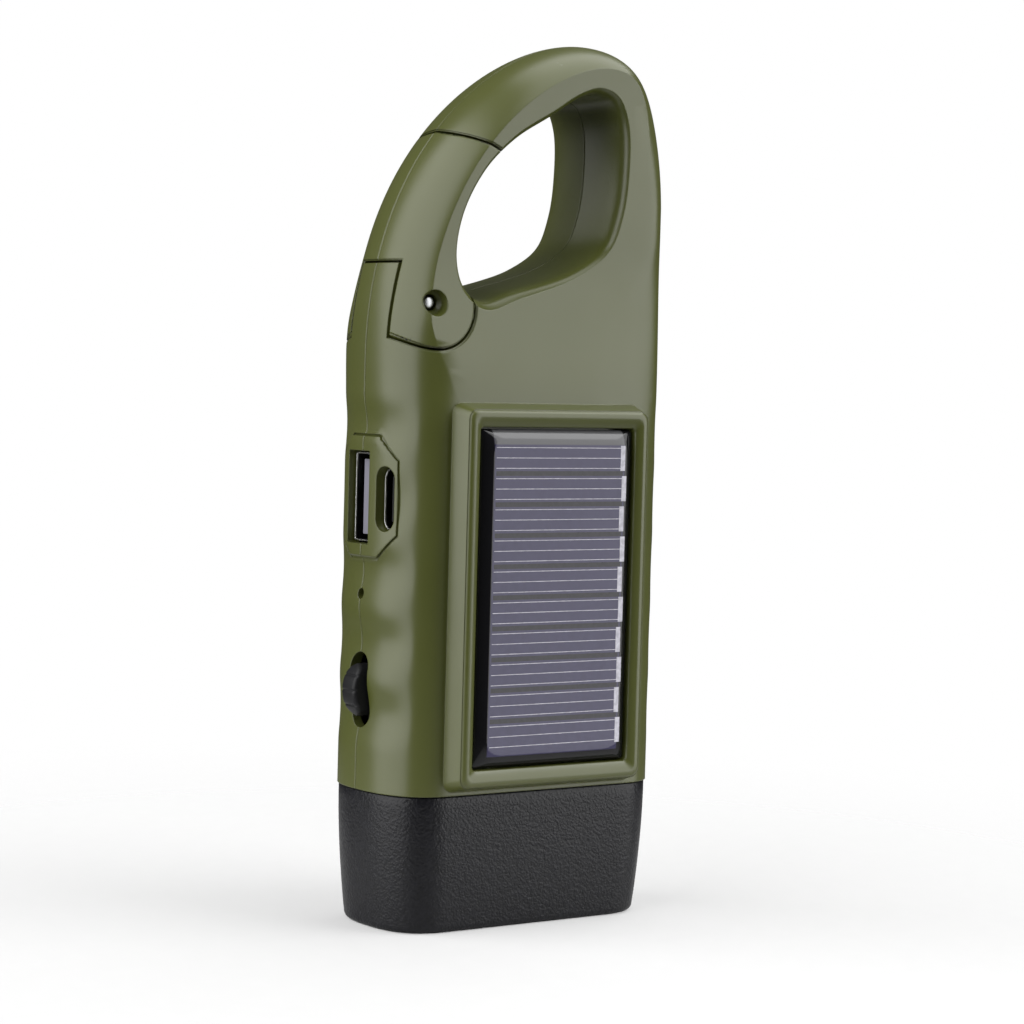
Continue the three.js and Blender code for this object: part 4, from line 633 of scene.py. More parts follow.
def half_body(face, low, wall=0.0, rows=90):
    """Half of the body, from the parting plane to one face, set in by a wall."""
    turn = GROOVE_FIRST + (GROOVE_COUNT - 0.5) * GROOVE_PITCH
    rise = mix(turn, TOTAL_HEIGHT, np.sin(np.linspace(0, math.pi / 2, rows + 1)))
    if low < turn:
        heights = [*np.linspace(low, turn, rows, endpoint=False), *rise]
    else:
        heights = [low, *rise[rise > low + 0.2]]
    shares = np.linspace(0, 1, FACE_COLUMNS + 2)[1:-1]
    rings = []
    for z in heights:
        left, right = (section(side, face, z, wall) for side in ("left", "right"))
        rings.append([*left, *(mix(left[-1], right[-1], share) for share in shares), *right[::-1]])
    return loft(rings, (True, False))


def level_loop(face, inset):
    """Half of the body's level section, set in, from the left parting edge to the right one."""
    sign, (depth, _), width, power = FACES[face]
    angle = np.linspace(0, math.pi / 2, SIDE_STEPS)
    bend = (width - inset / 2) * (1 - np.maximum(np.cos(angle), 0) ** power)
    reach = sign * (depth - inset) * np.sin(angle) ** power
    edge = list(zip(BODY_HALF_WIDTH - inset - bend, reach))
    return [*((-x, y) for x, y in edge), *reversed(edge)]


def whole_loop(inset, z):
    front, rear = level_loop("front", inset), level_loop("rear", inset)
    return along("Z", [*front, *reversed(rear[1:-1])], z)


# ---- Hook hole, gate and tongue ----

GATE_LOW, GATE_FRONT, GATE_REAR, GATE_SWEEP = 82.0, -13.8, 13.0, 36
HOLE_LOW, HOLE_HIGH = 92.1, 125.4
HOLE_SHARES = (
    (-0.632, 0.2), (-0.591, 0.4), (-0.434, 0.607), (-0.217, 0.758), (0.062, 0.88), (0.275, 0.972),
    (0.42, 1.0), (0.553, 0.965), (0.632, 0.848), (0.644, 0.614), (0.605, 0.425), (0.512, 0.272),
    (0.271, 0.152), (-0.185, 0.047), (-0.43, 0.0), (-0.57, 0.065),
)


def hole_outline():
    """Points and outward normals of the hole's rim: a centripetal curve through its stops."""
    across, up = np.array(HOLE_SHARES).T
    stops = np.stack([across * BODY_HALF_WIDTH, mix(HOLE_LOW, HOLE_HIGH, up)], axis=1)
    points = []
    for index in range(len(stops)):
        a, b, c, d = (stops[(index + shift) % len(stops)] for shift in (-1, 0, 1, 2))
        before, span, after = (math.sqrt(np.linalg.norm(q - p)) for p, q in ((a, b), (b, c), (c, d)))
        start = ((b - a) / before - (c - a) / (before + span) + (c - b) / span) * span
        end = ((c - b) / span - (d - b) / (span + after) + (d - c) / after) * span
        for share in np.linspace(0, 1, 12, endpoint=False):
            cube = 2 * b - 2 * c + start + end
            square = 3 * c - 3 * b - 2 * start - end
            points.append(b + start * share + square * share**2 + cube * share**3)
    points = np.array(points)
    tangents = np.roll(points, -1, axis=0) - np.roll(points, 1, axis=0)
    tangents /= np.linalg.norm(tangents, axis=1)[:, None]
    return points, np.stack([-tangents[:, 1], tangents[:, 0]], axis=1)


HOLE_POINTS, HOLE_NORMALS = hole_outline()


def hole_at(offset):
    return [tuple(point) for point in HOLE_POINTS + HOLE_NORMALS * offset]


def hole_cutter():
    """Wider outside both faces, rounded at both lips, with a fine groove at the parting plane."""
    outside, rear_rim, waist = 3.2, -0.5, -1.4
    depths = (0.15, 0.35, 0.6, 0.9, 1.3, 1.8, 2.6, 4.0, 6.5)
    lip = [(deep, 0.8 * (math.exp(-deep / 0.65) - 1)) for deep in depths]
    steps = [(-14.5, outside), (-HOOK_FRONT, 0.0)]
    steps += [(deep - HOOK_FRONT, curl - 0.6 * deep / HOOK_FRONT) for deep, curl in lip]
    steps += [(-SEAM, waist), (0.0, waist + SEAM), (SEAM, waist)]
    for deep, curl in reversed(lip):
        steps.append((HOOK_REAR - deep, rear_rim + curl - 0.1 * deep / HOOK_REAR))
    steps += [(HOOK_REAR, rear_rim), (13.8, outside)]
    return loft([along("Y", hole_at(offset), y) for y, offset in steps])


def gate_area(grow, low, high, sweep):
    """From the lobe about the pin up to the joint, which is turned about the pin's axis."""
    radius, start, inner = LOBE_RADIUS + grow, math.radians(sweep), math.radians(60)
    beyond = JOINT_RADIUS + grow + OVERRUN
    band = [
        (PIN_X + radius * math.cos(start), PIN_Z + radius * math.sin(start)),
        (PIN_X + beyond * math.cos(inner), PIN_Z + beyond * math.sin(inner)),
        (PIN_X - BODY_HALF_WIDTH, PIN_Z + 2 * JOINT_RADIUS),
        (PIN_X - BODY_HALF_WIDTH, PIN_Z),
        (PIN_X, PIN_Z),
    ]
    levels = sorted({low, 0.0, high})
    profile = [(JOINT_RADIUS + grow - JOINT_DROP * abs(level) / HOOK_FRONT, level) for level in levels]
    swing = turned([(0.0, low), *profile, (0.0, high)], "Y", PIN_X, PIN_Z, 240)
    return prism(band, "Y", low, high).trim(swing).join(bar(radius, "Y", PIN_X, PIN_Z, low, high, 128))


def strip_beside_pin(grow):
    right, top = PIN_X - TONGUE_STRIP + grow, PIN_Z + TONGUE_RISE + grow
    left, low = -BODY_HALF_WIDTH - OVERRUN, PIN_Z - 2 * LOBE_RADIUS
    return [(left, low), (right, low), (right, top), (left, top)]


def tongue():
    """The shells' tongue between the gate's two cheeks."""
    reach, wedge = 2 * LOBE_RADIUS, [(PIN_X, PIN_Z)]
    for angle in np.radians(np.linspace(225, 312, 25)):
        wedge.append((PIN_X + reach * math.cos(angle), PIN_Z + reach * math.sin(angle)))
    shapes = [strip_beside_pin(0.0), wedge, disc(TONGUE_HUB, PIN_X, PIN_Z)]
    first, *others = (prism(shape, "Y", -TONGUE_HALF, TONGUE_HALF) for shape in shapes)
    return first.join(*others)


def gate_slot(grow):
    half = TONGUE_HALF + grow
    root = rectangle(4 * LOBE_RADIUS, 2 * LOBE_RADIUS, 0, PIN_X, PIN_Z + 1 - LOBE_RADIUS)
    shapes = [strip_beside_pin(grow), root, disc(TONGUE_HUB + grow, PIN_X, PIN_Z)]
    first, *others = (prism(shape, "Y", -half, half) for shape in shapes)
    return first.join(*others)


def only_skin(solid):
    """What a solid has within a lip's depth of the hook's surface, to soften the edges of a gap."""
    return solid.cut(*(half_body(face, GATE_LOW, LIP, 30) for face in ("front", "rear")))


# ---- Shells, gate and bumper ----

SCREW_PLACES = ((-18.5, 25.5), (18.5, 25.5), (-17.4, 79.6), (17.4, 79.6), (19.4, 113.0), (2.6, 126.0))
BOARD_PLACES = ((17.2, 49.6), (17.2, 70.4))
PLATE_PLACES = ((-16.4, 46.0), (17.4, 41.6), (-10.4, 24.6))
SCREW_SEAT = 5.0


def bars(radius, places, low, high, segments=64):
    """One solid of several bars along Y that don't touch."""
    first, *others = (bar(radius, "Y", x, z, low, high, segments) for x, z in places)
    return first.join(*others)


def side_openings():
    """For the two sockets, the switch and the charge light."""
    openings = [
        rectangle(6.3, 13.7, 0.25, USB_A_Y, SOCKET_Z),
        rectangle(3.76, 9.54, 1.87, USB_C_Y, SOCKET_Z),
        rectangle(4.9, 11.2, 2.44, 0.0, SWITCH_Z, 16),
        disc(0.8, 0.0, 49.4, 32),
    ]
    return [prism(outline, "X", -26.4, -18.4) for outline in openings]


def plate_seam(face):
    """The fine groove around the eight-sided socket plate, cut to a set depth below the surface."""
    centre, inner, corner_up = (0.0, PLATE_CENTRE), PLATE_REACH - CORNER_WIDE, PLATE_HALF - CORNER_HIGH
    upper = [(-2.0, PLATE_HALF), (inner, PLATE_HALF), (PLATE_REACH, corner_up)]
    spokes = np.array([*upper, *((across, -up) for across, up in reversed(upper))])
    spokes = spokes * (FACES[face][0], 1)
    ribbon = [*(centre + spokes * 1.018), *(centre + spokes[::-1] * 0.98)]
    return prism(ribbon, "X", -27.0, -16.0).cut(half_body(face, 50.0, 0.35, 24))


def shell_blank(face, posts):
    """The outer half with the skirt inside the bumper, hollow, with its bosses and openings."""
    low, high = sorted((0.0, FACES[face][0] * (BODY_FRONT + OVERRUN)))
    outer = half_body(face, BUMPER_HEIGHT)
    bosses = bars(3.0, SCREW_PLACES, low, high).join(posts).trim(outer.copy())
    foot, ledge = 5.4, BUMPER_HEIGHT + 1.6
    skirt = prism(level_loop(face, SKIRT_INSET), "Z", foot, ledge)
    bore = prism(level_loop(face, BORE_INSET), "Z", foot - OVERRUN, ledge + OVERRUN)
    hollow = half_body(face, ledge, WALL, 30)
    hollow.cut(prism(hole_at(WALL), "Y", low - 1, high + 1), gate_area(WALL, low - 1, high + 1, 0))
    gate_cut = gate_area(GATE_GAP, low - OVERRUN, high + OVERRUN, 0).cut(tongue())
    legs = box((PIN_X - 2.7, -2.7, PIN_Z - 3.8), (PIN_X - 1.5, 2.7, PIN_Z + 3.8))
    spring = bar(3.0, "Y", PIN_X, PIN_Z, -2.7, 2.7).join(legs)
    pin_hole = bar(PIN_HOLE, "Y", PIN_X, PIN_Z, -BODY_FRONT, BODY_REAR, 32)
    lip = only_skin(gate_area(GATE_GAP + LIP, low - OVERRUN, high + OVERRUN, 0).cut(tongue()))
    shell = outer.join(skirt).cut(bore, hollow).join(bosses).cut(hole_cutter(), gate_cut, lip)
    return shell.cut(*side_openings(), plate_seam(face), spring, pin_hole)


def panel_loop(width, height, corner, y):
    return along("Y", rectangle(width, height, corner, 0.0, FRAME_CENTRE), y)


def panel_frame():
    """Sloped outer wall, a fine crease, then the rounded band."""
    steps = [
        (34.2, 57.0, 1.6, -11.5), (34.2, 57.0, 1.6, -12.3), (32.4, 55.2, 1.45, -15.62),
        (32.25, 55.05, 1.4, -15.58), (32.05, 54.85, 1.35, -15.78), (31.7, 54.5, 1.3, -15.95),
        (31.3, 54.1, 1.25, -16.03), (30.5, 53.3, 1.15, -16.05),
    ]
    return loft([panel_loop(*step) for step in steps])


def panel_pocket():
    """Rolled over from the band, then straight down around the resin."""
    steps = [
        (30.8, 53.9, 1.1, -16.6), (30.3, 53.1, 1.0, -16.06), (28.4, 50.6, 0.7, -15.55),
        (28.05, 50.15, 0.62, -15.35), (27.9, 50.0, 0.6, -15.1), (27.9, 50.0, 0.6, -12.2),
    ]
    return loft([panel_loop(*step) for step in steps])


def front_shell():
    shell = shell_blank("front", bars(2.1, BOARD_PLACES, -14.5, -3.5)).join(panel_frame())
    wire_hole = bar(1.6, "Y", 0.0, 71.3, -12.5, -8.5)
    shell.cut(panel_pocket(), wire_hole, bars(PILOT_HOLE, BOARD_PLACES, -7.0, 0.0, 32))
    shell.cut(bars(SCREW_HOLE, SCREW_PLACES, -6.8, 2.0, 32))
    shell.piece("front_shell_skin", "flashlight", "front_shell", crease=30)


def rear_shell():
    shell = shell_blank("rear", bars(2.2, PLATE_PLACES, 4.1, 14.5))
    pad = rounded(lambda inset: disc(14.0 - inset, 0.0, CRANK_Z, 128), "Y", 10.0, 12.25, 0.35)
    seats = bars(2.35, SCREW_PLACES, SCREW_SEAT, 14.0)
    shanks = bars(SCREW_HOLE, SCREW_PLACES, -2.0, 7.0, 32)
    pilots = bars(PILOT_HOLE, PLATE_PLACES, 0.0, 8.3, 32)
    axle_seat = bar(1.05, "Y", 7.8375, 30.4251, 0.0, 10.8, 32)
    bushing_hole = bar(4.3, "Y", 0.0, CRANK_Z, 6.0, 14.0)
    shell.join(pad).cut(bushing_hole, seats, shanks, pilots, axle_seat)
    shell.piece("rear_shell_skin", "flashlight", "rear_shell", crease=30)


def snap_gate():
    """Cut from a ring of both halves, with a recess around the head of its pin."""
    ring = half_body("front", GATE_LOW).join(half_body("rear", GATE_LOW)).cut(hole_cutter())
    rim = only_skin(ring.copy().cut(gate_area(-LIP, GATE_FRONT, GATE_REAR, GATE_SWEEP)))
    ring.trim(gate_area(0.0, GATE_FRONT, GATE_REAR, GATE_SWEEP))
    ring.cut(rim, only_skin(gate_slot(GATE_GAP + LIP)))
    recess = [(0, -11.5), (2.2, -11.5), (1.75, -9.8), (1.7, -9.2), (1.2, -8.7), (0, -8.7)]
    pin_hole = bar(PIN_HOLE, "Y", PIN_X, PIN_Z, GATE_FRONT, GATE_REAR)
    ring.cut(gate_slot(GATE_GAP), pin_hole, turned(recess, "Y", PIN_X, PIN_Z))
    ring.piece("snap_gate_skin", "gate", "snap_gate", crease=30)


def gate_pin():
    profile = [(0, -8.7), (0.5, -8.68), (0.74, -8.62), (0.9, -8.45), (0.9, 7.9), (0.7, 8.15), (0, 8.2)]
    turned(profile, "Y", PIN_X, PIN_Z, 48).piece("gate_pin_domed", "gate", "gate_pin")


def rubber_bumper():
    """The bumper swells upwards from a rounded foot and ends in a fine lip under the shells."""
    top, foot_edge, foot_inset = BUMPER_HEIGHT - 0.1, 1.1, 1.3

    def window(out):
        """The outline of the window for the lamp, grown on every side."""
        return rectangle(35.0 + 2 * out, 13.6 + 2 * out, 4.0 + out, 0.0, LAMP_Y)

    levels = [(rise, foot_inset + inset) for inset, rise in quarter_round(foot_edge, 7)]
    for up in np.linspace(0, 1, 15)[1:]:
        swell = math.sin(up * math.pi / 2) ** 0.9
        levels.append((mix(foot_edge, top - 0.3, up), mix(foot_inset, 0.2, swell)))
    levels += [(top - 0.1, 0.26), (top, 0.42)]
    bumper = loft([whole_loop(inset, z) for z, inset in levels])
    pocket = loft([whole_loop(2.3, z) for z in (5.0, 22.4)])
    rim = loft([along("Z", window(out), z) for z, out in ((-0.4, 1.0), (0.6, 0.0))])
    seat = prism(rectangle(37.6, 16.2, 5.0, 0.0, LAMP_Y), "Z", 2.3, 7.0)
    bumper.cut(pocket, rim, prism(window(0.0), "Z", 0.5, 7.0), seat)
    bumper.piece("rubber_bumper_skin", "flashlight", "rubber_bumper", crease=40)


# ---- Sockets and switch ----


def socket_tube(socket, wide, tall, corner, sheet, y, length):
    """A folded metal tube in the side, with its mouth slightly flared."""

    def outline(out):
        return rectangle(wide + 2 * out, tall + 2 * out, corner + out, y, SOCKET_Z, 12)

    tube = prism(outline(0.0), "X", SOCKET_X, SOCKET_X + length)
    levels = ((-0.1, 0.22), (0.35, 0.0), (length + 1, 0.0))
    flare = loft([along("X", outline(out - sheet), SOCKET_X + level) for level, out in levels])
    name = f"{socket}_shell"
    tube.cut(flare).piece(f"{name}_folded", "flashlight", name, material=SOCKET_STEEL_PAINTED_SHADE)


def socket_tongue(socket, blade, back, y, length):
    """The blade that carries the contacts, on the block that closes the tube."""
    name, end = f"{socket}_tongue", SOCKET_X + length
    front = prism(rectangle(*blade, 0.15, y[0], SOCKET_Z), "X", SOCKET_X + 0.6, end)
    block = prism(rectangle(*back, 0.3, y[1], SOCKET_Z), "X", end - 1.2, end)
    front.join(block).piece(f"{name}_moulded", "flashlight", name)


def switch_knob():
    """A long rounded button with a crown, grooved across for the thumb, and its lever inside."""
    back, crown, half_high, half_wide, bulge = -21.6, -26.1, 3.9, 1.85, 1.7
    groove_depth, groove_pitch = 0.16, 2.2
    radius = (half_high**2 + bulge**2) / (2 * bulge)
    loops = []
    for up in half_high * np.sin(np.linspace(-1.5, 1.5, 91)):
        half = math.sqrt(half_wide**2 - max(0.0, abs(up) - half_high + half_wide) ** 2)
        wave = max(0.0, math.cos(2 * math.pi * up / groove_pitch)) ** 10 if abs(up) < 3.0 else 0.0
        face = crown + radius - math.sqrt(radius**2 - up**2) + groove_depth * wave
        rim = quarter_round(min(0.6, 0.8 * half))
        edge = [(face + inset, half - rise) for inset, rise in rim]
        outline = [(back, half), *edge, *((x, -y) for x, y in reversed(edge)), (back, -half)]
        loops.append(along("Z", outline, SWITCH_Z + up))
    lever = box((back - 0.1, -0.7, SWITCH_Z - 0.7), (-19.8, 0.7, SWITCH_Z + 0.7))
    knob = loft(loops).join(lever)
    knob.piece("switch_knob_grooved", "slider", "switch_knob", crease=40)


# ---- Crank ----


def arm_outline(inset):
    """Around the hub and the tip, with straight sides that touch both."""
    lean = math.acos((HUB_RADIUS - TIP_RADIUS) / CRANK_THROW)
    hub, tip = np.linspace(lean, 2 * math.pi - lean, 72), np.linspace(-lean, lean, 48)
    stops = [(HUB_RADIUS - inset, CRANK_Z, turn) for turn in hub]
    stops += [(TIP_RADIUS - inset, KNOB_Z, turn) for turn in tip]
    return [(radius * math.sin(turn), z + radius * math.cos(turn)) for radius, z, turn in stops]


def crank_arm():
    arm = rounded(arm_outline, "Y", 12.6, 16.8, 0.7)
    lug = bar(2.5, "X", FOLD_Y, KNOB_Z, -6.5, 6.5, 96)
    slot = box((-4.4, 0.0, 61.0), (4.4, 22.0, 94.9))
    square = prism(rectangle(4.4, 4.4, 0.2, 0.0, CRANK_Z), "Y", 10.0, 20.0)
    seat = turned([(0, 14.9), (3.6, 14.9), (3.6, 16.5), (4.2, 17.1), (0, 17.1)], "Y", 0.0, CRANK_Z)
    pin_hole = bar(FOLD_HOLE, "X", FOLD_Y, KNOB_Z, -9.0, 9.0, 32)
    arm.join(lug).cut(slot, square, seat, pin_hole)
    arm.piece("crank_arm_skin", "crank", "crank_arm", crease=35)


def knob_bracket():
    """A barrel on the fold pin, and the spindle for the grip."""
    barrel = rounded(lambda inset: disc(3.8 - inset, FOLD_Y, KNOB_Z, 96), "X", -3.95, 3.95, 0.4)
    spindle = [(0, 62.9), (1.3, 62.9), (1.6, 63.2), (1.6, 75.6)]
    collar = [(3.0, 75.6), (3.2, 75.8), (3.2, 78.6), (0, 78.6)]
    pin_hole = bar(FOLD_HOLE, "X", FOLD_Y, KNOB_Z, -8.0, 8.0, 32)
    screw_hole = bar(1.0, "Z", 0.0, FOLD_Y, 61.3, 68.2, 32)
    barrel.join(turned([*spindle, *collar], "Z", 0.0, FOLD_Y)).cut(pin_hole, screw_hole)
    barrel.piece("knob_bracket_skin", "knob_fork", "knob_bracket", crease=35)


def crank_knob():
    """A waisted grip with shallow rings for the fingers."""
    low, high, end, waist, edge, steps = 61.3, 75.3, 4.1, 3.5, 0.7, 120
    ring_depth, ring_pitch = 0.16, 1.5
    rim = quarter_round(edge, 4, 0.3)
    profile = [(0, low), (end - edge, low), *((end - inset, low + rise) for inset, rise in rim)]
    for step in range(1, steps):
        z = mix(low + edge, high - edge, step / steps)
        slimmer = (end - waist) * math.sin(math.pi * step / steps) ** 2
        wave = max(0.0, math.cos(2 * math.pi * (z - mix(low, high, 0.5)) / ring_pitch))
        fade = smooth(step, 12, 22) * smooth(steps - step, 10, 22)
        profile.append((end - slimmer - ring_depth * wave * fade, z))
    profile += [(end - inset, high - rise) for inset, rise in reversed(rim)]
    profile += [(end - edge, high), (0, high)]
    knob = turned(profile, "Z", 0.0, FOLD_Y, 96)
    knob.cut(bar(1.95, "Z", 0.0, FOLD_Y, 60.0, 77.0), bar(2.8, "Z", 0.0, FOLD_Y, 60.0, 62.9))
    knob.piece("crank_knob_skin", "knob_grip", "crank_knob", crease=35)


# ---- Solar panel ----

PANEL_FACE = -15.9


def solar_panel():
    """A block of clear resin, flat over the cells and rolled over at its edges."""
    wide, high, corner, drop = 27.3, 49.4, 0.6, 1.1
    roll = [(0.0, 0.0), (0.3, 0.3), (0.6, 0.68), (0.88, 1.08), (1.0, 1.3), (1.07, 1.5), (drop, 1.8)]
    loops = [panel_loop(wide, high, corner, -13.4)]
    for rise, inset in roll:
        size = wide - 2 * inset, high - 2 * inset, corner + 1.3 * inset
        loops.append(panel_loop(*size, PANEL_FACE + drop - rise))
    block = loft(loops)
    block.piece("panel_resin_block", "flashlight", "solar_panel", crease=50)


# ---- Patterns: node trees that repeat a small form ----


class Pattern(Graph):
    """A Geometry Nodes tree with named inputs. It ends in Realize Instances and Set Material."""

    KINDS = {
        int: "NodeSocketInt",
        float: "NodeSocketFloat",
        tuple: "NodeSocketVector",
        bpy.types.Material: "NodeSocketMaterial",
    }

    def __init__(self, name, material, **sizes):
        super().__init__(bpy.data.node_groups.new(name, "GeometryNodeTree"))
        self.values = {"material": material, **sizes}
        sockets = self.tree.interface
        sockets.new_socket("places", in_out="INPUT", socket_type="NodeSocketGeometry")
        self.names = {}
        for label, value in self.values.items():
            socket = sockets.new_socket(label, in_out="INPUT", socket_type=self.KINDS[type(value)])
            self.names[label] = socket.identifier
        sockets.new_socket("pieces", in_out="OUTPUT", socket_type="NodeSocketGeometry")
        self.inputs = self.tree.nodes.new("NodeGroupInput")

    def input(self, label):
        return Wire(self, self.inputs.outputs[label])

    def boolean(self, operation, meshes):
        return self.node("GeometryNodeMeshBoolean", meshes, operation=operation, solver="MANIFOLD")

    def lifted(self, geometry, height):
        lift = self.node("ShaderNodeCombineXYZ", {"Z": height})
        return self.node("GeometryNodeTransform", {"Geometry": geometry, "Translation": lift})

    def at_points(self, points, geometry, **values):
        values = {"Points": points, "Instance": geometry, **values}
        placed = self.node("GeometryNodeInstanceOnPoints", values)
        return self.node("GeometryNodeRealizeInstances", {"Geometry": placed})

    def end(self, geometry):
        values = {"Geometry": geometry, "Material": self.input("material")}
        finished = self.node("GeometryNodeSetMaterial", values)
        self.join(self.tree.nodes.new("NodeGroupOutput").inputs[0], finished)
        return self

    def grow(self, points):
        """The pattern's mesh, grown from points given in millimetres."""
        mesh = bpy.data.meshes.new("places")
        mesh.from_pydata([(Vector(point) + SHIFT) * MM for point in points], [], [])
        thing = add("places", mesh)
        modifier = thing.modifiers.new("pattern", "NODES")
        modifier.node_group = self.tree
        for label, value in self.values.items():
            modifier[self.names[label]] = value
        result = settled_mesh(thing)
        thing.modifiers.clear()
        thing.data = result
        return thing


def bars_in_rows(name, material, count, spacing, size):
    """At each point, a row of small bars downwards."""
    spacing, size = (0.0, 0.0, -spacing * MM), tuple(length * MM for length in size)
    pattern = Pattern(name, material, count=count, spacing=spacing, size=size)
    values = {"Count": pattern.input("count"), "Offset": pattern.input("spacing")}
    row = pattern.node("GeometryNodeMeshLine", values)
    small = pattern.node("GeometryNodeMeshCube", {"Size": pattern.input("size")})
    return pattern.end(pattern.at_points(pattern.at_points(pattern.input("places"), row), small))


def cross_screws(name, head_radius, head_height, shank_radius, shank_length, turn):
    """At each point, a screw with a cross in its head. The turn about X says where its head looks."""
    sizes = {
        "head radius": head_radius * MM,
        "head height": head_height * MM,
        "shank radius": shank_radius * MM,
        "shank length": shank_length * MM,
        "drive width": 0.55 * MM,
        "drive depth": 0.7 * MM,
    }
    pattern = Pattern(name, MATERIALS["steel"], **sizes)
    radius, height, shank_radius, length, width, depth = (pattern.input(label) for label in sizes)
    values = {"Vertices": 48, "Radius": radius, "Depth": height}
    blank = pattern.lifted(pattern.node("GeometryNodeMeshCylinder", values), height * 0.5)
    radii = {"Radius Top": radius * 0.8, "Radius Bottom": radius * 1.9}
    cone = pattern.node("GeometryNodeMeshCone", {"Vertices": 48, **radii, "Depth": height})
    head = pattern.boolean("INTERSECT", {"Mesh 2": cone})
    pattern.join(head.socket.node.inputs["Mesh 2"], blank)
    for long, short in ((radius * 1.4, width), (width, radius * 1.4)):
        size = pattern.node("ShaderNodeCombineXYZ", {"X": long, "Y": short, "Z": depth * 2.0})
        slot = pattern.lifted(pattern.node("GeometryNodeMeshCube", {"Size": size}), height)
        head = pattern.boolean("DIFFERENCE", {"Mesh 1": head, "Mesh 2": slot})
    values = {"Vertices": 32, "Radius": shank_radius, "Depth": length}
    shank = pattern.node("GeometryNodeMeshCylinder", values)
    screw = pattern.node("GeometryNodeJoinGeometry", {0: head})
    pattern.join(screw.socket.node.inputs[0], pattern.lifted(shank, length * -0.5))
    rotation = (math.radians(turn), 0.0, 0.0)
    return pattern.end(pattern.at_points(pattern.input("places"), screw, Rotation=rotation))


# ---- The pieces ----

front_shell()
rear_shell()
snap_gate()
gate_pin()
rubber_bumper()
socket_tube("usb_a", 5.7, 13.1, 0.35, 0.35, USB_A_Y, USB_A_LENGTH)
socket_tube("usb_c", 3.16, 8.94, 1.57, 0.3, USB_C_Y, USB_C_LENGTH)
socket_tongue("usb_a", (2.6, 11.1), (4.4, 11.8), (1.45, USB_A_Y), USB_A_LENGTH)
socket_tongue("usb_c", (0.7, 6.65), (1.96, 7.74), (USB_C_Y,) * 2, USB_C_LENGTH)
switch_knob()
crank_arm()
knob_bracket()
crank_knob()
solar_panel()

screws = (
    ("case_screws", "flashlight", (2.05, 1.5, 1.1, 11.5, -90), SCREW_SEAT, SCREW_PLACES),
    ("board_screws", "flashlight", (1.6, 1.0, 0.8, 4.0, -90), -1.8, BOARD_PLACES),
    ("gear_plate_screws", "flashlight", (1.7, 1.0, 0.8, 5.0, 90), 3.0, PLATE_PLACES),
    ("crank_screw_crossed", "crank", (2.8, 1.5, 1.2, 6.5, -90), 14.9, [(0.0, CRANK_Z)]),
    ("knob_screw_crossed", "knob_fork", (2.4, 1.1, 0.7, 5.0, 180), FOLD_Y, [(0.0, 62.8)]),
)
for name, body, sizes, y, places in screws:
    points = [(x, y, z) for x, z in places]
    singular = name.replace("_crossed", "").removesuffix("s")
    numbers = range(1, len(points) + 1)
    nodes = [singular] if len(points) == 1 else [f"{singular}_{number}" for number in numbers]
    dress(cross_screws(name, *sizes).grow(points), name, body, "steel", nodes)

LINE_STEP = (CELL_HIGH - CELL_LOW) / 29
group_tops = [CELL_HIGH - 3 * LINE_STEP * group for group in range(10)]
silver = printed("printed silver", (0.62, 0.61, 0.68), (0.44, 0.43, 0.49))
gap = printed("cell gap", (0.010, 0.010, 0.013), (0.018, 0.017, 0.022))
first_gap = [(0.0, PANEL_FACE, CELL_HIGH - 2.5 * LINE_STEP)]
first_lines = [(0.0, PANEL_FACE, top) for top in group_tops]
busbar = [
    (mix(11.45, 11.75, group % 2), PANEL_FACE, top - LINE_STEP) for group, top in enumerate(group_tops)
]
rows = (
    ("cell_gaps", gap, 9, 3 * LINE_STEP, (2 * CELL_HALF, 0.02, 0.69), first_gap),
    ("cell_lines", silver, 3, LINE_STEP, (2 * CELL_HALF, 0.04, 0.10), first_lines),
    ("cell_busbar", silver, 1, 0.0, (0.84, 0.05, 3.75), busbar),
)
for name, material, count, spacing, size, points in rows:
    pattern = bars_in_rows(name, material, count, spacing, size)
    dress(pattern.grow(points), name, "flashlight", "solar_resin", material=material)

# ---- Camera, floor and lights ----

CAMERA_PLACE = (-0.244765, -0.356755, 0.08368)
HEADING, PITCH, ROLL = math.radians(35.0), math.radians(2.972), math.radians(-1.544)

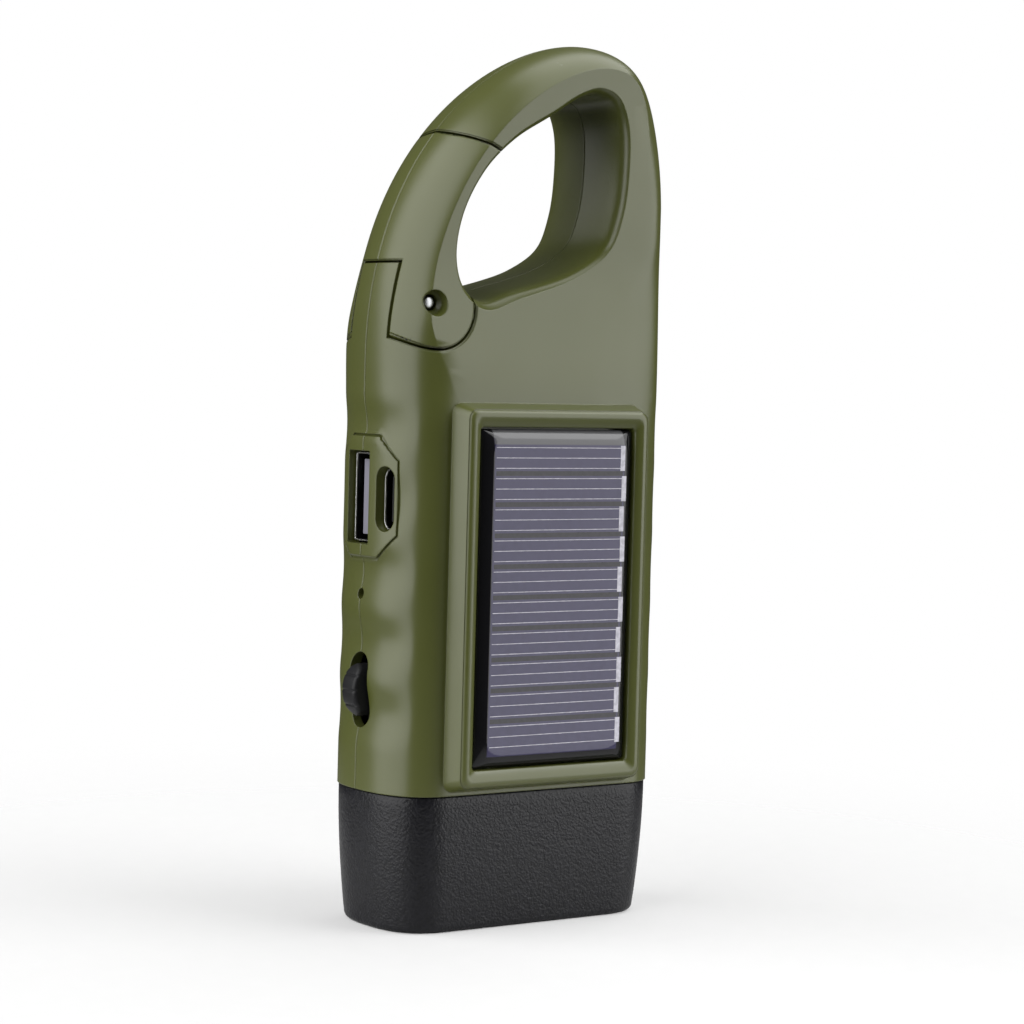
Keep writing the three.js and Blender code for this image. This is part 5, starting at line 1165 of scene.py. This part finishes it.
camera_data = bpy.data.cameras.new("camera")
camera_data.sensor_width, camera_data.lens = 36.0, 99.98
camera = add("camera", camera_data)
camera.matrix_world = (
    Matrix.Translation(CAMERA_PLACE)
    @ Matrix.Rotation(-HEADING, 4, "Z")
    @ Matrix.Rotation(math.pi / 2 - PITCH, 4, "X")
    @ Matrix.Rotation(-ROLL, 4, "Z")
)
bpy.context.scene.camera = camera


def floor_finish():
    """A pale floor that keeps the shadow near the object and fades into the white around it."""
    finish = Finish("pale floor")
    x, y, z = finish.axes()
    distance = (x * x + y * y).math("SQRT")
    grain = finish.noise(300.0)
    return finish.set(
        Base_Color=finish.blend(grain, (0.90, 0.90, 0.90), (0.92, 0.92, 0.92)),
        Roughness=grain * 0.1 + 0.3,
        Alpha=0.62 - distance.step(0.03, 0.20) * 0.62,
    )


floor_mesh = bpy.data.meshes.new("floor")
floor_mesh.from_pydata([(-3, -3, 0), (3, -3, 0), (3, 3, 0), (-3, 3, 0)], [], [(0, 1, 2, 3)])
floor_mesh.materials.append(floor_finish())
floor = add("floor", floor_mesh)


def soft_lamp(name, size, strength, place):
    """A softbox that looks at the middle of the flashlight."""
    lamp = bpy.data.lights.new(name, "AREA")
    lamp.shape, lamp.size, lamp.size_y, lamp.energy = "RECTANGLE", *size, strength
    toward = Vector((0.0, 0.0, 0.07)) - Vector(place)
    facing = toward.to_track_quat("-Z", "Y").to_matrix().to_4x4()
    add(name, lamp).matrix_world = Matrix.Translation(place) @ facing


soft_lamp("left_softbox", (1.25, 1.5), 15.0, (-0.744, 0.10, 0.44))
soft_lamp("front_softbox", (0.75, 1.25), 7.7, (0.58, -0.595, 0.36))
soft_lamp("overhead", (1.1, 0.9), 6.6, (0.36, -0.06, 0.85))

world = bpy.data.worlds.new("studio")
world.use_nodes = True
bpy.context.scene.world = world
room = Graph(world.node_tree)
rays = room.tree.nodes.new("ShaderNodeLightPath")
direct, through = (
    Wire(room, rays.outputs[label]) for label in ("Is Camera Ray", "Is Transmission Ray")
)
seen_white = direct.math("MAXIMUM", through)
background = room.tree.nodes["Background"]
room.join(background.inputs["Color"], (1.0, 1.0, 1.0))
room.join(background.inputs["Strength"], seen_white * 0.94 + 0.06)

bpy.context.scene.view_settings.view_transform = "Standard"
